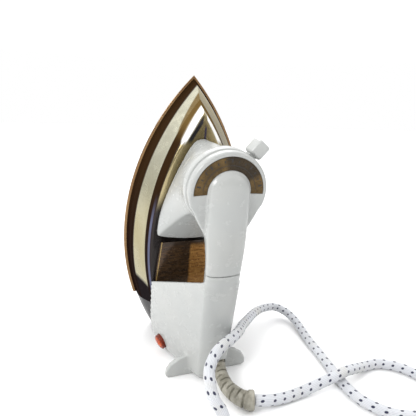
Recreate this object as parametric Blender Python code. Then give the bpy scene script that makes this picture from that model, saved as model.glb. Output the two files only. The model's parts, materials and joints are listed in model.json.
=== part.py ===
"""Electric dry iron, standing on its heel, with its braided cord coiled beside it.

The iron is modelled lying on its sole, in millimetres: X across, Y from the heel
to the tip, Z up from the sole's face. The "stand" empty then tips it up onto its
heel. The strain relief, cord, coil and plug are placed straight on the table.
"""
import math

import bmesh
import bpy
from mathutils import Vector

MM = 0.001
GAP = 0.3

# Stance: the heel rests on the table and the tip leans a little towards the handle.
LEAN = math.radians(8.4)
STAND_Y = 69.471

# Sole: each side is one circular arc, cut straight across at the heel.
SIDE_RADIUS = 196.4
HALF_WIDTH = 54.7
WIDEST_Y = 100.0
HEEL_Y = 42.2
SOLE_THICKNESS = 12.0
SIDE_STEPS = 16

# Heating element: a bent tube lying in a groove in the sole's upper face.
ELEMENT_ROUTE = [(20, 34), (21, 50), (31, 85), (32, 120), (24, 160), (11, 196), (0, 206)]
ELEMENT_RADIUS = 3.4
ELEMENT_Z = 8.5

# Clamping stack above the sole.
SHEET_Z = (12.4, 13.2)
WEIGHT_Z = (13.6, 25.0)
WEIGHT_INSET = 12.0
WEIGHT_HEEL_Y = 50.0
STUDS = {"front": (0.0, 190.0), "left": (-14.0, 72.0), "right": (14.0, 72.0)}
STUD_RADIUS = 2.4
STUD_Z = (5.0, 33.0)
NUT_Z = (25.4, 29.4)

# Cover: inset from the sole's outline, and height, from the flange up to the roof.
COVER_PROFILE = [
    (0.0, 12.3), (0.0, 13.2), (2.6, 13.3), (3.4, 14.4), (4.6, 23.0), (5.4, 24.6),
    (13.2, 36.0), (13.8, 37.6), (14.6, 42.4), (15.8, 44.6), (18.0, 45.5),
]
COVER_THICKNESS = 1.0
ROOF_Z = 45.5
HEEL_WALL = 2.2
HEEL_SCREW_Z = 19.3
SCREW_RADIUS = 2.0

# Dial, on the axis that runs down to the thermostat.
DIAL_Y = 170.0
HEAD_RADIUS = 27.2
HEAD_Z = (99.6, 107.0)
RING_RADIUS = (20.5, 27.6)
RING_Z = (90.6, 99.2)
LEVER_ANGLE = math.radians(-40)
KNOB_SPAN = (28.6, 40.2)
KNOB_WIDTH = 10.6
KNOB_Z = (90.2, 100.8)
ARM_WIDTH = 6.0
ARM_Z = (92.0, 97.4)
SPINDLE_RADIUS = 3.0
LABEL_RADIUS = (15.2, 24.0)
LABEL_Z = (106.7, 107.1)
LABEL_HALF_TURN = math.radians(93)
RECESS_HALF_TURN = math.radians(94)

# Handle: where the front half meets the rear cover.
SEAM_Y = 112.4
TIE_SCREW_Z = 103.0

# Rear cover's flank, from the crease beside the bar down to the roof of the metal cover.
FLANK_FOOT_HALF = 36.5
FLANK_FOOT_Z = 46.0
FOOT_Z = (93.0, 97.0)
REAR_WALL = 3.4
REAR_SCREWS = [(-23.0, 50.0), (23.0, 50.0)]
BASE_SCREWS = [(-15.0, 130.0), (15.0, 130.0)]
HEAD_SCREWS = [(-10.7, 161.0), (10.7, 161.0)]

# Pilot lamp on the left flank.
LAMP_CENTRE = (-30.4, 20.6, 61.8)
LAMP_NORMAL = Vector((-0.90, -0.26, 0.35))
LAMP_RADIUS = 6.4

# Cord: diameter, and the routes of its strain relief and of its free stretch on the table.
CORD_RADIUS = 3.9
BUSH_ROUTE = [
    (6.0, -34.6, 20.5), (5.1, -42.3, 13.8), (4.6, -51.0, 9.6), (5.2, -61.0, 7.5),
    (8.2, -70.6, 7.2), (12.6, -77.0, 7.2), (18.0, -79.2, 7.2),
]
BUSH_RADII = (5.3, 5.3, 5.2, 5.5, 5.9, 6.2, 6.9)
CORD_ROUTE = [
    (18.52, -79.41, 7.2), (26.0, -81.5, 7.0), (34.0, -81.3, 5.8), (44.0, -80.0, 4.7),
    (57.0, -78.2, 4.6), (72.0, -78.6, 8.6), (86.0, -79.0, 12.6), (97.0, -76.5, 12.9),
    (109.0, -72.0, 9.4), (124.0, -66.5, 5.0), (139.0, -66.5, 4.3), (153.0, -77.0, 4.3),
    (159.0, -95.0, 4.3), (150.0, -115.0, 4.3), (131.0, -124.0, 4.3), (109.0, -118.5, 4.3),
    (95.5, -101.0, 4.3), (93.5, -81.0, 4.2), (96.5, -58.0, 4.2), (99.3, -40.0, 4.3),
    (101.5, -22.0, 4.4), (104.5, -4.0, 5.0), (107.0, 14.0, 6.4), (104.5, 28.5, 8.6),
    (94.5, 35.5, 12.0), (77.9, 29.1, 15.5), (62.1, 15.0, 20.0), (45.8, -5.5, 26.5),
    (30.0, -27.5, 34.5), (21.8, -41.0, 39.5), (11.5, -54.0, 43.5), (-3.2, -66.6, 45.0),
    (-10.7, -72.4, 42.5), (-16.0, -78.9, 38.0), (-18.3, -86.9, 33.0), (-17.6, -93.8, 27.0),
    (-14.0, -98.4, 21.0), (-12.8, -107.0, 13.6), (-12.2, -117.0, 7.4), (-12.2, -130.0, 4.5),
    (-12.2, -146.5, 4.3),
]
COIL_CENTRE = (37.0, -178.0)
COIL_RADIUS = 45.0
COIL_HALF = 8.6
COIL_Z = (1.4, 18.6)
TAIL_RADIUS = 49.2
TAIL_SPAN = (31.8, 48.0)
TAIL_ANGLE = math.radians(-8)
PLUG_Z = 18.4
# Plug, as depth and radius, and its pins, as offsets across and up, radius and length.
PLUG_PROFILE = [
    (0.0, 6.2), (3.0, 6.8), (14.0, 8.2), (18.0, 12.0), (24.0, 16.8), (44.0, 17.8), (48.0, 16.6),
]
PLUG_PINS = {
    "live": (9.5, -6.5, 2.54, 14.9),
    "neutral": (-9.5, -6.5, 2.54, 14.9),
    "earth": (0.0, 9.0, 3.53, 20.6),
}


# ---------------------------------------------------------------- small helpers

def clear_scene():
    for old in list(bpy.data.objects):
        bpy.data.objects.remove(old, do_unlink=True)


def finish(obj, colour, roughness, metallic=0.0):
    """Give the object a material of its own."""
    material = bpy.data.materials.new(obj.name)
    material.use_nodes = True
    shader = material.node_tree.nodes["Principled BSDF"]
    shader.inputs["Base Color"].default_value = (*colour, 1.0)
    shader.inputs["Roughness"].default_value = roughness
    shader.inputs["Metallic"].default_value = metallic
    obj.data.materials.clear()
    obj.data.materials.append(material)
    return obj


WHITE = ((0.80, 0.80, 0.78), 0.28)
BLACK = ((0.02, 0.02, 0.02), 0.3)
STEEL = ((0.60, 0.60, 0.62), 0.35, 1.0)
BRASS = ((0.80, 0.62, 0.28), 0.3, 1.0)
ALUMINIUM = ((0.72, 0.73, 0.75), 0.3, 1.0)
GOLD = ((0.62, 0.50, 0.30), 0.12, 1.0)
CAST_IRON = ((0.12, 0.12, 0.13), 0.7, 1.0)
CERAMIC = ((0.85, 0.82, 0.75), 0.6)
MICA = ((0.55, 0.50, 0.38), 0.6)
RUBBER = ((0.42, 0.41, 0.37), 0.7)
LENS = ((0.85, 0.16, 0.04), 0.15)
GLASS = ((0.90, 0.92, 0.92), 0.05)
BROWN = ((0.10, 0.05, 0.02), 0.3)
CORD_CLOTH = ((0.80, 0.81, 0.84), 0.9)


def solid(name, rings, look, parent=None, caps=True):
    """Skin a closed body through rings of points; without caps the last ring meets the first."""
    size = len(rings[0])
    vertices = [Vector(point) * MM for ring in rings for point in ring]
    faces = []
    pairs = len(rings) - 1 if caps else len(rings)
    for row in range(pairs):
        low = row * size
        high = (row + 1) % len(rings) * size
        for k in range(size):
            after = (k + 1) % size
            faces.append((low + k, low + after, high + after, high + k))
    if caps:
        faces.append(tuple(range(size - 1, -1, -1)))
        faces.append(tuple(range(low_index(rings), len(vertices))))
    mesh = bpy.data.meshes.new(name)
    mesh.from_pydata(vertices, [], faces)
    work = bmesh.new()
    work.from_mesh(mesh)
    bmesh.ops.recalc_face_normals(work, faces=work.faces)
    work.to_mesh(mesh)
    work.free()
    mesh.shade_smooth()
    mesh.set_sharp_from_angle(angle=math.radians(35))
    return place(name, mesh, look, parent)


def low_index(rings):
    return (len(rings) - 1) * len(rings[0])


def place(name, data, look, parent):
    obj = bpy.data.objects.new(name, data)
    bpy.context.scene.collection.objects.link(obj)
    obj.parent = parent
    if look:
        finish(obj, *look)
    return obj


def hidden(obj):
    """Mark a shape as a cutter or a filler, which is not a piece of the iron."""
    obj.hide_render = True
    obj.display_type = "WIRE"
    return obj


def boolean(obj, other, operation):
    modifier = obj.modifiers.new(other.name, "BOOLEAN")
    modifier.operation = operation
    modifier.solver = "EXACT"
    modifier.object = hidden(other)


def cut(obj, *cutters):
    for cutter in cutters:
        boolean(obj, cutter, "DIFFERENCE")


def join(obj, *others):
    for other in others:
        boolean(obj, other, "UNION")


def circle(radius, z, centre=(0.0, 0.0), sides=16):
    turn = 2 * math.pi / sides
    return [
        (centre[0] + radius * math.cos(k * turn), centre[1] + radius * math.sin(k * turn), z)
        for k in range(sides)
    ]


def turned(name, profile, look, parent, centre=(0.0, 0.0), sides=16):
    """A solid of revolution about a vertical line; the profile is (radius, z), bottom to top."""
    return solid(name, [circle(r, z, centre, sides) for r, z in profile], look, parent)


def washer(name, outer, inner, look, parent, heights):
    """A plate with a hole, from an outer and an inner outline with the same number of points."""
    low, high = heights
    rings = [at_height(outer, low), at_height(outer, high), at_height(inner, high), at_height(inner, low)]
    return solid(name, rings, look, parent, caps=False)


def at_height(outline, z):
    return [(point[0], point[1], z) for point in outline]


def prism(name, outline, heights, look, parent=None):
    return solid(name, [at_height(outline, z) for z in heights], look, parent)


def box(name, low, high, look, parent=None):
    outline = [(low[0], low[1]), (high[0], low[1]), (high[0], high[1]), (low[0], high[1])]
    return prism(name, outline, (low[2], high[2]), look, parent)


def smooth_path(points, spacing):
    """Evenly spaced points on a Catmull-Rom curve through the given ones."""
    knots = [Vector(point) for point in points]
    knots = [2 * knots[0] - knots[1]] + knots + [2 * knots[-1] - knots[-2]]
    dense = []
    for a, b, c, d in zip(knots, knots[1:], knots[2:], knots[3:]):
        for step in range(12):
            t = step / 12
            dense.append(0.5 * (2 * b + (c - a) * t + (2 * a - 5 * b + 4 * c - d) * t ** 2
                                + (3 * b - a - 3 * c + d) * t ** 3))
    dense.append(knots[-2])
    lengths = [0.0]
    for before, after in zip(dense, dense[1:]):
        lengths.append(lengths[-1] + (after - before).length)
    count = max(2, round(lengths[-1] / spacing))
    path = []
    k = 0
    for step in range(count + 1):
        target = lengths[-1] * step / count
        while k < len(dense) - 2 and lengths[k + 1] < target:
            k += 1
        share = (target - lengths[k]) / (lengths[k + 1] - lengths[k])
        path.append(dense[k].lerp(dense[k + 1], share))
    return path


def tube(name, points, radius, look, parent=None, resolution=2):
    """A round bar along the points, kept as a curve with a bevel."""
    curve = bpy.data.curves.new(name, "CURVE")
    curve.dimensions = "3D"
    curve.bevel_depth = radius * MM
    curve.bevel_resolution = resolution
    curve.use_fill_caps = True
    spline = curve.splines.new("POLY")
    spline.points.add(len(points) - 1)
    for point, place_at in zip(spline.points, points):
        point.co = (*(Vector(place_at) * MM), 1.0)
    return place(name, curve, look, parent)


def swept(name, points, radii, look, parent=None, sides=12):
    """A mesh swept along the points, with its own radius at each one."""
    path = [Vector(point) for point in points]
    first = (path[1] - path[0]).normalized()
    upright = abs(first.z) > 0.99
    side = first.orthogonal().normalized() if upright else Vector((0, 0, 1)).cross(first).normalized()
    rings = []
    for k, here in enumerate(path):
        ahead = path[min(k + 1, len(path) - 1)] - path[max(k - 1, 0)]
        up = ahead.cross(side).normalized()
        side = up.cross(ahead).normalized()
        ring = []
        for step in range(sides):
            angle = 2 * math.pi * step / sides
            ring.append(here + (side * math.cos(angle) + up * math.sin(angle)) * radii[k])
        rings.append(ring)
    return solid(name, rings, look, parent)


def rod(name, start, end, radius, look, parent=None, sides=12):
    """A straight round bar between two points."""
    return swept(name, [start, end], [radius, radius], look, parent, sides)


def screw(name, head_at, tip_at, head_radius, head_height, shank_radius, look, parent):
    """A screw whose head's top is at head_at and whose tip is at tip_at."""
    start = Vector(head_at)
    along = (Vector(tip_at) - start).normalized()
    under = start + along * head_height
    points = [start, start + along * 0.6, under, under + along * 0.02, Vector(tip_at)]
    radii = [head_radius * 0.8, head_radius, head_radius, shank_radius, shank_radius]
    return swept(name, points, radii, look, parent, sides=10)


# ---------------------------------------------------------------- shared outlines

def half_width(y, inset=0.0):
    """Half the width of the sole's outline, moved in by the inset, at a station y."""
    radius = SIDE_RADIUS - inset
    return math.sqrt(max(radius ** 2 - (y - WIDEST_Y) ** 2, 0.0)) - (SIDE_RADIUS - HALF_WIDTH)


def sole_outline(inset, heel_y):
    """The pointed outline, from the right heel corner round the tip to the left one."""
    reach = math.sqrt((SIDE_RADIUS - inset) ** 2 - (SIDE_RADIUS - HALF_WIDTH) ** 2)
    tip_y = WIDEST_Y + reach
    right = []
    for step in range(SIDE_STEPS):
        y = heel_y + (tip_y - heel_y) * step / SIDE_STEPS
        right.append((half_width(y, inset), y))
    left = [(-x, y) for x, y in reversed(right)]
    return right + [(0.0, tip_y)] + left


def offset_profile(profile, thickness):
    """The cover's profile moved inwards, to its inner skin."""
    inner = []
    for k in range(1, len(profile)):
        before = Vector(profile[max(k - 1, 0)])
        after = Vector(profile[min(k + 1, len(profile) - 1)])
        along = (after - before).normalized()
        normal = Vector((along.y, -along.x))
        inner.append(tuple(Vector(profile[k]) + normal * thickness))
    return inner


def dial_point(radius, angle, z):
    """A point about the dial's axis; the angle starts at the tip and runs anticlockwise."""
    return (-radius * math.sin(angle), DIAL_Y + radius * math.cos(angle), z)


def arc(radius, start, end, steps):
    return [dial_point(radius, start + (end - start) * k / steps, 0.0) for k in range(steps + 1)]


def sector(name, radii, start, end, heights, look, parent, steps):
    """A plate between two arcs about the dial's axis."""
    outline = arc(radii[1], start, end, steps) + arc(radii[0], end, start, steps)
    return prism(name, outline, heights, look, parent)


# ---------------------------------------------------------------- sole and heater

def element_path(end_y):
    right = [(x, max(y, end_y), ELEMENT_Z) for x, y in ELEMENT_ROUTE]
    left = [(-x, y, z) for x, y, z in reversed(right[:-1])]
    return smooth_path(right + left, 9.0)


def make_soleplate(stand):
    rings = [at_height(sole_outline(2.4, HEEL_Y + 1.4), 0.0), at_height(sole_outline(0.6, HEEL_Y), 2.0),
             at_height(sole_outline(0.6, HEEL_Y), SOLE_THICKNESS)]
    sole = solid("soleplate", rings, ALUMINIUM, stand)
    groove_path = element_path(30.0)
    groove_path[0].y -= 4.0
    groove_path[-1].y -= 4.0
    radii = [ELEMENT_RADIUS + 0.5] * len(groove_path)
    cut(sole, swept("cut_element_groove", groove_path, radii, None, stand, sides=8))
    for spot, (x, y) in STUDS.items():
        floor_z = STUD_Z[0] - GAP
        cut(sole, rod(f"cut_sole_{spot}", (x, y, floor_z), (x, y, 20.0), STUD_RADIUS + GAP, None, stand))


def make_element(stand):
    path = element_path(30.0)
    swept("heating_element", path, [ELEMENT_RADIUS] * len(path), STEEL, stand, sides=8)
    for side, x in (("left", -20.0), ("right", 20.0)):
        rod(f"element_pin_{side}", (x, 33.7, ELEMENT_Z), (x, 25.0, ELEMENT_Z), 1.5, BRASS, stand, sides=8)


def make_clamping_stack(stand):
    sheet = prism("insulation_sheet", sole_outline(8.0, 48.0), SHEET_Z, MICA, stand)
    weight = prism("weight_plate", sole_outline(WEIGHT_INSET, WEIGHT_HEEL_Y), WEIGHT_Z, CAST_IRON, stand)
    window = box("cut_thermostat_window", (-13, 126, 10), (13, 180, 30), None, stand)
    cut(sheet, window)
    cut(weight, window)
    for spot, (x, y) in STUDS.items():
        hole = rod(f"cut_stack_{spot}", (x, y, 10.0), (x, y, 30.0), STUD_RADIUS + 0.4, None, stand)
        cut(sheet, hole)
        cut(weight, hole)
        rod(f"stud_{spot}", (x, y, STUD_Z[0]), (x, y, STUD_Z[1]), STUD_RADIUS, STEEL, stand)
        make_nut(f"nut_{spot}", (x, y), stand)
    hole = (0, 40, HEEL_SCREW_Z), (0, 63, HEEL_SCREW_Z)
    cut(weight, rod("cut_heel_screw_hole", *hole, SCREW_RADIUS + GAP, None, stand))


def make_nut(name, centre, stand):
    outer = []
    for corner in range(6):
        for share in (0.0, 0.5):
            a = math.radians(60 * corner)
            b = math.radians(60 * (corner + 1))
            x = 4.8 * ((1 - share) * math.cos(a) + share * math.cos(b))
            y = 4.8 * ((1 - share) * math.sin(a) + share * math.sin(b))
            outer.append((centre[0] + x, centre[1] + y))
    washer(name, outer, circle(STUD_RADIUS + GAP, 0, centre, 12), STEEL, stand, NUT_Z)


# ---------------------------------------------------------------- thermostat

def make_thermostat(stand):
    bracket = box("thermostat_bracket", (-8, 130, 12.4), (8, 152, 14.0), STEEL, stand)
    join(bracket, box("fill_bracket_wall", (-8, 130, 13), (8, 131.6, 26), None, stand))
    box("bimetal_strip", (-5, 132.2, 14.4), (5, 176, 15.4), BRASS, stand)
    heights = [(15.8, 19.0), (20.6, 23.4), (25.0, 28.0)]
    for number, (low, high) in enumerate(heights, 1):
        turned(f"ceramic_spacer_{number}", [(4, low), (4, high)], CERAMIC, stand, (0, 138), 12)
    box("fixed_contact_arm", (-4.5, 133.5, 19.4), (4.5, 166, 20.2), BRASS, stand)
    box("moving_contact_arm", (-4.5, 133.5, 23.8), (4.5, 176, 24.6), BRASS, stand)
    turned("contact_button", [(2, 20.6), (2, 23.4)], STEEL, stand, (0, 161), 12)


# ---------------------------------------------------------------- metal cover

def make_cover(stand):
    inner = offset_profile(COVER_PROFILE[1:], COVER_THICKNESS)
    inner[0] = (inner[0][0], COVER_PROFILE[0][1])
    inner_heel = HEEL_Y + COVER_THICKNESS
    inner_rings = [at_height(sole_outline(inset, inner_heel), z) for inset, z in reversed(inner)]
    outer_rings = [at_height(sole_outline(inset, HEEL_Y), z) for inset, z in COVER_PROFILE]
    cover = solid("cover_shell", inner_rings + outer_rings, GOLD, stand)
    cut(cover, box("cut_cover_heel", (-30, 38, 10), (30, 46, 40), None, stand))
    for number, (x, y) in enumerate(BASE_SCREWS + REAR_SCREWS):
        cut(cover, rod(f"cut_cover_screw_{number}", (x, y, 42), (x, y, 48), 2.1, None, stand))
    cut(cover, rod("cut_cover_spindle", (0, DIAL_Y, 42), (0, DIAL_Y, 48), 5.0, None, stand, 16))


def make_name_plate(stand):
    outline = [(33.2, 72.8), (31.6, 90.0), (29.6, 107.0), (-29.6, 107.0), (-31.6, 90.0), (-33.2, 72.8)]
    prism("name_plate", outline, (ROOF_Z + GAP, ROOF_Z + 0.8), GOLD, stand)


# ---------------------------------------------------------------- black heel block

def heel_section(y, extra):
    """A cross-section of the heel block; extra moves it inwards for the hollow."""
    stops = [(7.0, 2.4), (3.2, 6.0), (2.6, 12.0), (4.6, 23.0), (13.2, 36.0), (14.6, 42.4), (18.0, 45.5)]
    right = []
    for inset, z in stops:
        z_in = min(max(z, stops[0][1] + extra), stops[-1][1] - extra)
        right.append((half_width(y, inset + extra), z_in))
    return [(x, z) for x, z in right] + [(-x, z) for x, z in reversed(right)]


def slanted(section, y, lift):
    """Stand a section at a station, or on the table's plane where the station is None."""
    return [(x, z * math.tan(LEAN) + lift if y is None else y, z) for x, z in section]


def make_heel_block(stand):
    stations = [HEEL_Y - GAP, 32.0, 22.0, 13.0, 8.0]
    rings = [slanted(heel_section(y, 0.0), y, 0) for y in stations]
    rings.append(slanted(heel_section(3.5, 0.0), None, 0.0))
    block = solid("heel_block", rings, BLACK, stand)
    hollow = [slanted(heel_section(y, HEEL_WALL), y, 0) for y in (50.0, 36.0, 24.0, 14.0)]
    hollow.append(slanted(heel_section(10.0, HEEL_WALL), None, 4.0))
    cut(block, solid("cut_heel_hollow", hollow, None, stand))
    cut(block, box("cut_heel_wires", (-16, 18, 38), (16, 34, 50), None, stand))
    well = (0, -10, HEEL_SCREW_Z), (0, 10, HEEL_SCREW_Z)
    cut(block, rod("cut_heel_screw", *well, 4.4, None, stand))
    shank = (0, 0, HEEL_SCREW_Z), (0, 30, HEEL_SCREW_Z)
    cut(block, rod("cut_heel_shank", *shank, SCREW_RADIUS + GAP, None, stand))
    reach = (0, 5.2, HEEL_SCREW_Z), (0, 62, HEEL_SCREW_Z)
    screw("heel_screw", *reach, 4.0, 2.4, SCREW_RADIUS, STEEL, stand)


# ---------------------------------------------------------------- white front base and dial

SKIRT = [
    (0.0, 110.5), (16.0, 111.4), (30.5, 114.0), (33.0, 117.5), (31.4, 132.0), (26.8, 148.0),
    (20.8, 163.0), (15.0, 175.5), (10.0, 185.0), (5.5, 190.4), (0.0, 192.3),
]
BASE_BLEND = [(45.8, 0.0), (49.0, 0.0), (51.0, 0.08), (56.0, 0.27), (63.0, 0.50), (71.0, 0.72),
              (79.0, 0.88), (86.0, 0.97), (90.0, 1.0)]
NECK_RADIUS = 24.5
NECK_AIM = 160.0
SKIRT_MIDDLE = 155.0
BASE_WALL = 3.0
POST_RADIUS = (11.5, 16.5)
HEAD_SCREW_RADIUS = 1.75


def base_blend(z):
    """How far the front base has turned from its skirt into its round neck."""
    for (z0, blend0), (z1, blend1) in zip(BASE_BLEND, BASE_BLEND[1:]):
        if z <= z1:
            return blend0 + (blend1 - blend0) * (z - z0) / (z1 - z0)
    return 1.0


def base_ring(z, blend, inset=0.0):
    left = [(-x, y) for x, y in reversed(SKIRT[1:-1])]
    ring = []
    for x, y in SKIRT + left:
        foot = Vector((x, y - SKIRT_MIDDLE))
        foot -= foot.normalized() * inset
        angle = math.atan2(y - NECK_AIM, x)
        neck_x = (NECK_RADIUS - inset) * math.cos(angle)
        neck_y = DIAL_Y + (NECK_RADIUS - inset) * math.sin(angle)
        ring.append((foot.x + (neck_x - foot.x) * blend,
                     foot.y + SKIRT_MIDDLE + (neck_y - foot.y - SKIRT_MIDDLE) * blend, z))
    return ring


def make_front_base(stand):
    inner = [base_ring(z, base_blend(z + 2.5), BASE_WALL) for z in (80.0, 73.0, 65.0, 57.0, 50.0)]
    inner.append(base_ring(BASE_BLEND[0][0], 0.0, BASE_WALL))
    outer = [base_ring(z, blend) for z, blend in BASE_BLEND]
    base = solid("front_base", inner + outer, WHITE, stand)
    post = sector("fill_head_post", POST_RADIUS, math.radians(100), math.radians(260),
                  (88, HEAD_Z[0] - 0.4), None, stand, 12)
    join(base, post)
    for number, (x, y) in enumerate(BASE_SCREWS):
        foot_z = BASE_BLEND[0][0]
        join(base, rod(f"fill_base_boss_{number}", (x, y, foot_z), (x, y, 61.0), 4.6, None, stand))
        cut(base, rod(f"cut_base_boss_{number}", (x, y, 40.0), (x, y, 57.5), 2.0, None, stand))
        side = "left" if x < 0 else "right"
        screw(f"base_screw_{side}", (x, y, 41.0), (x, y, 57.0), 3.8, 3.0, 1.7, STEEL, stand)
    cut(base, rod("cut_base_spindle", (0, DIAL_Y, 70), (0, DIAL_Y, 96), 7.0, None, stand, 16))
    for number, (x, y) in enumerate(HEAD_SCREWS):
        hole = (x, y, 78.0), (x, y, 102.0)
        cut(base, rod(f"cut_head_post_{number}", *hole, HEAD_SCREW_RADIUS, None, stand))
        side = "left" if x < 0 else "right"
        screw(f"head_screw_{side}", (x, y, 76.0), (x, y, 105.0), 3.0, 3.4, 1.4, STEEL, stand)


def radial_outline(span, width, angle):
    """A bar's outline that points away from the dial's axis, about that axis."""
    along = Vector((-math.sin(angle), math.cos(angle)))
    across = Vector((along.y, -along.x)) * (width / 2)
    near = along * span[0]
    far = along * span[1]
    return [near - across, near + across, far + across, far - across]


def make_dial(stand):
    """The dial ring, its lever and the spindle, all about the dial's own axis."""
    pivot = bpy.data.objects.new("dial_axis", None)
    bpy.context.scene.collection.objects.link(pivot)
    pivot.parent = stand
    pivot.location = Vector((0.0, DIAL_Y, 0.0)) * MM
    ring = washer("dial_ring", circle(RING_RADIUS[1], 0, sides=32), circle(RING_RADIUS[0], 0, sides=32),
                  WHITE, pivot, RING_Z)
    spoke = radial_outline((1.0, 21.5), ARM_WIDTH, LEVER_ANGLE)
    arm = radial_outline((26.0, 33.6), ARM_WIDTH, LEVER_ANGLE)
    join(ring, turned("fill_dial_hub", [(6.4, RING_Z[0]), (6.4, 98.0)], None, pivot),
         prism("fill_dial_spoke", spoke, (91.0, 96.0), None, pivot),
         prism("fill_lever_arm", arm, ARM_Z, None, pivot))
    cut(ring, rod("cut_dial_hub", (0, 0, 85), (0, 0, 105), SPINDLE_RADIUS + 0.4, None, pivot))
    spindle = [(2.2, 31.0), (2.2, 36.0), (SPINDLE_RADIUS, 36.4), (SPINDLE_RADIUS, 97.6)]
    turned("thermostat_spindle", spindle, STEEL, pivot, sides=12)
    rings = []
    for z, inset in ((KNOB_Z[0], 1.2), (KNOB_Z[0] + 1.2, 0.0), (KNOB_Z[1] - 2.0, 0.0), (KNOB_Z[1], 1.6)):
        span = (KNOB_SPAN[0] + inset, KNOB_SPAN[1] - inset)
        rings.append([(p.x, p.y, z) for p in radial_outline(span, KNOB_WIDTH - 2 * inset, LEVER_ANGLE)])
    knob = solid("lever_knob", rings, WHITE, pivot)
    pocket = radial_outline((25.0, 34.2), ARM_WIDTH + 0.8, LEVER_ANGLE)
    cut(knob, prism("cut_knob_pocket", pocket, (ARM_Z[0] - 0.5, ARM_Z[1] + 0.5), None, pivot))


def make_thermostat_pin(stand):
    turned("thermostat_pin", [(1.8, 25.0), (1.8, 30.6)], CERAMIC, stand, (0, DIAL_Y), 12)


# ---------------------------------------------------------------- handle and rear cover

def body_section(y, ridge, crease, corner, bulge, sag=0.0):
    """A cross-section of the handle or rear cover: crowned top, creases, flanks and underside."""
    half = []
    for degrees in (0, 25, 50, 72, 90):
        angle = math.radians(degrees)
        half.append((crease[0] * math.sin(angle), crease[1] + (ridge - crease[1]) * math.cos(angle)))
    for step in range(1, 6):
        share = step / 5
        x = crease[0] + (corner[0] - crease[0]) * share + bulge * math.sin(math.pi * share)
        half.append((x, crease[1] + (corner[1] - crease[1]) * share))
    half.append((corner[0] * 0.5, corner[1] - sag * 0.75))
    half.append((0.0, corner[1] - sag))
    left = [(-x, z) for x, z in reversed(half[1:-1])]
    return slanted(half + left, y, 0.0)


GRIP = [
    # station y, ridge z, crease (x, z), lower corner (x, z), bulge
    (112.6, 116.0, (12.9, 111.0), (6.2, 91.2), 0.6),
    (121.0, 116.1, (13.3, 111.1), (6.8, 91.8), 0.7),
    (130.0, 116.0, (13.8, 110.9), (8.8, 94.2), 0.8),
    (136.0, 115.7, (14.0, 110.5), (10.5, 97.4), 0.8),
    (141.4, 115.4, (14.2, 110.0), (12.3, 101.4), 0.8),
    (158.0, 113.9, (14.3, 108.6), (13.6, 101.6), 0.5),
    (170.0, 112.6, (14.3, 107.6), (13.8, 101.6), 0.3),
]
GRIP_END = 14.6
DISC_HALF_TURN = math.radians(110)
DISC_MIDDLE = 165.0


def make_handle(stand):
    rings = [body_section(*station, 1.2) for station in GRIP]
    for degrees in (25, 48, 68, 84):
        share = math.cos(math.radians(degrees))
        y = DIAL_Y + GRIP_END * math.sin(math.radians(degrees))
        rings.append(body_section(y, 106.0 + 6.6 * share, (14.3 * share, 103.0 + 4.6 * share),
                                  (13.8 * share, 101.6), 0.2))
    grip = solid("fill_grip", rings, None, stand)
    flare = [(11.4, 127.0), (12.9, 137.0), (17.2, 145.6), (21.8, 154.0)]
    disc = arc(HEAD_RADIUS, -DISC_HALF_TURN, DISC_HALF_TURN, 28)
    edge = flare + [tuple(p[:2]) for p in disc]
    edge += [(-x, y) for x, y in reversed(flare)]
    plates = []
    low, high = HEAD_Z
    for z, scale in ((low, 0.97), (low + 1.2, 1.0), (high - 1.8, 1.0), (high, 0.96)):
        plates.append([(x * scale, DISC_MIDDLE + (y - DISC_MIDDLE) * scale, z) for x, y in edge])
    handle = solid("handle", plates, WHITE, stand)
    join(handle, grip)
    recess = (LABEL_RADIUS[0] - GAP, LABEL_RADIUS[1] + GAP)
    cut(handle, sector("cut_label_recess", recess, -RECESS_HALF_TURN, RECESS_HALF_TURN,
                       (LABEL_Z[0] - GAP, 110.0), None, stand, 24))
    for number, (x, y) in enumerate(HEAD_SCREWS):
        hole = (x, y, 98.0), (x, y, 105.4)
        cut(handle, rod(f"cut_handle_screw_{number}", *hole, HEAD_SCREW_RADIUS, None, stand))
    tie = (0, 108, TIE_SCREW_Z), (0, 139, TIE_SCREW_Z)
    cut(handle, rod("cut_handle_tie", *tie, SCREW_RADIUS + GAP, None, stand))
    sector("dial_label", LABEL_RADIUS, -LABEL_HALF_TURN, LABEL_HALF_TURN, LABEL_Z, BROWN, stand, 24)


def flank_foot(y):
    """Half the rear cover's width where it stands on the metal cover, rounded at the heel."""
    return FLANK_FOOT_HALF - 10.0 * (max(40.0 - y, 0.0) / 34.0) ** 2.2


def pillar(y, inset=0.0):
    """Ridge height and crease of the pillar at a station y."""
    ridge = 109.4 + 0.0695 * (y - 18.0) - inset
    crease = (12.0 + 0.021 * (y - 30.0) - 0.8 * inset, ridge - 5.0)
    return ridge, crease


def rear_section(y, foot_z, inset=0.0, station=None, lift=0.0, foot_y=None):
    """A section of the rear cover, whose flanks end at foot_z; station None leans on the table."""
    ridge, crease = pillar(y, inset)
    foot = (flank_foot(y if foot_y is None else foot_y) - 1.1 * inset, FLANK_FOOT_Z)
    share = (crease[1] - foot_z) / (crease[1] - foot[1])
    corner = (crease[0] + (foot[0] - crease[0]) * share, foot_z)
    section = body_section(0.0, ridge, crease, corner, 1.4 * min(share, 1.0))
    return slanted([(x, z) for x, _, z in section], station, lift)


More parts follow.
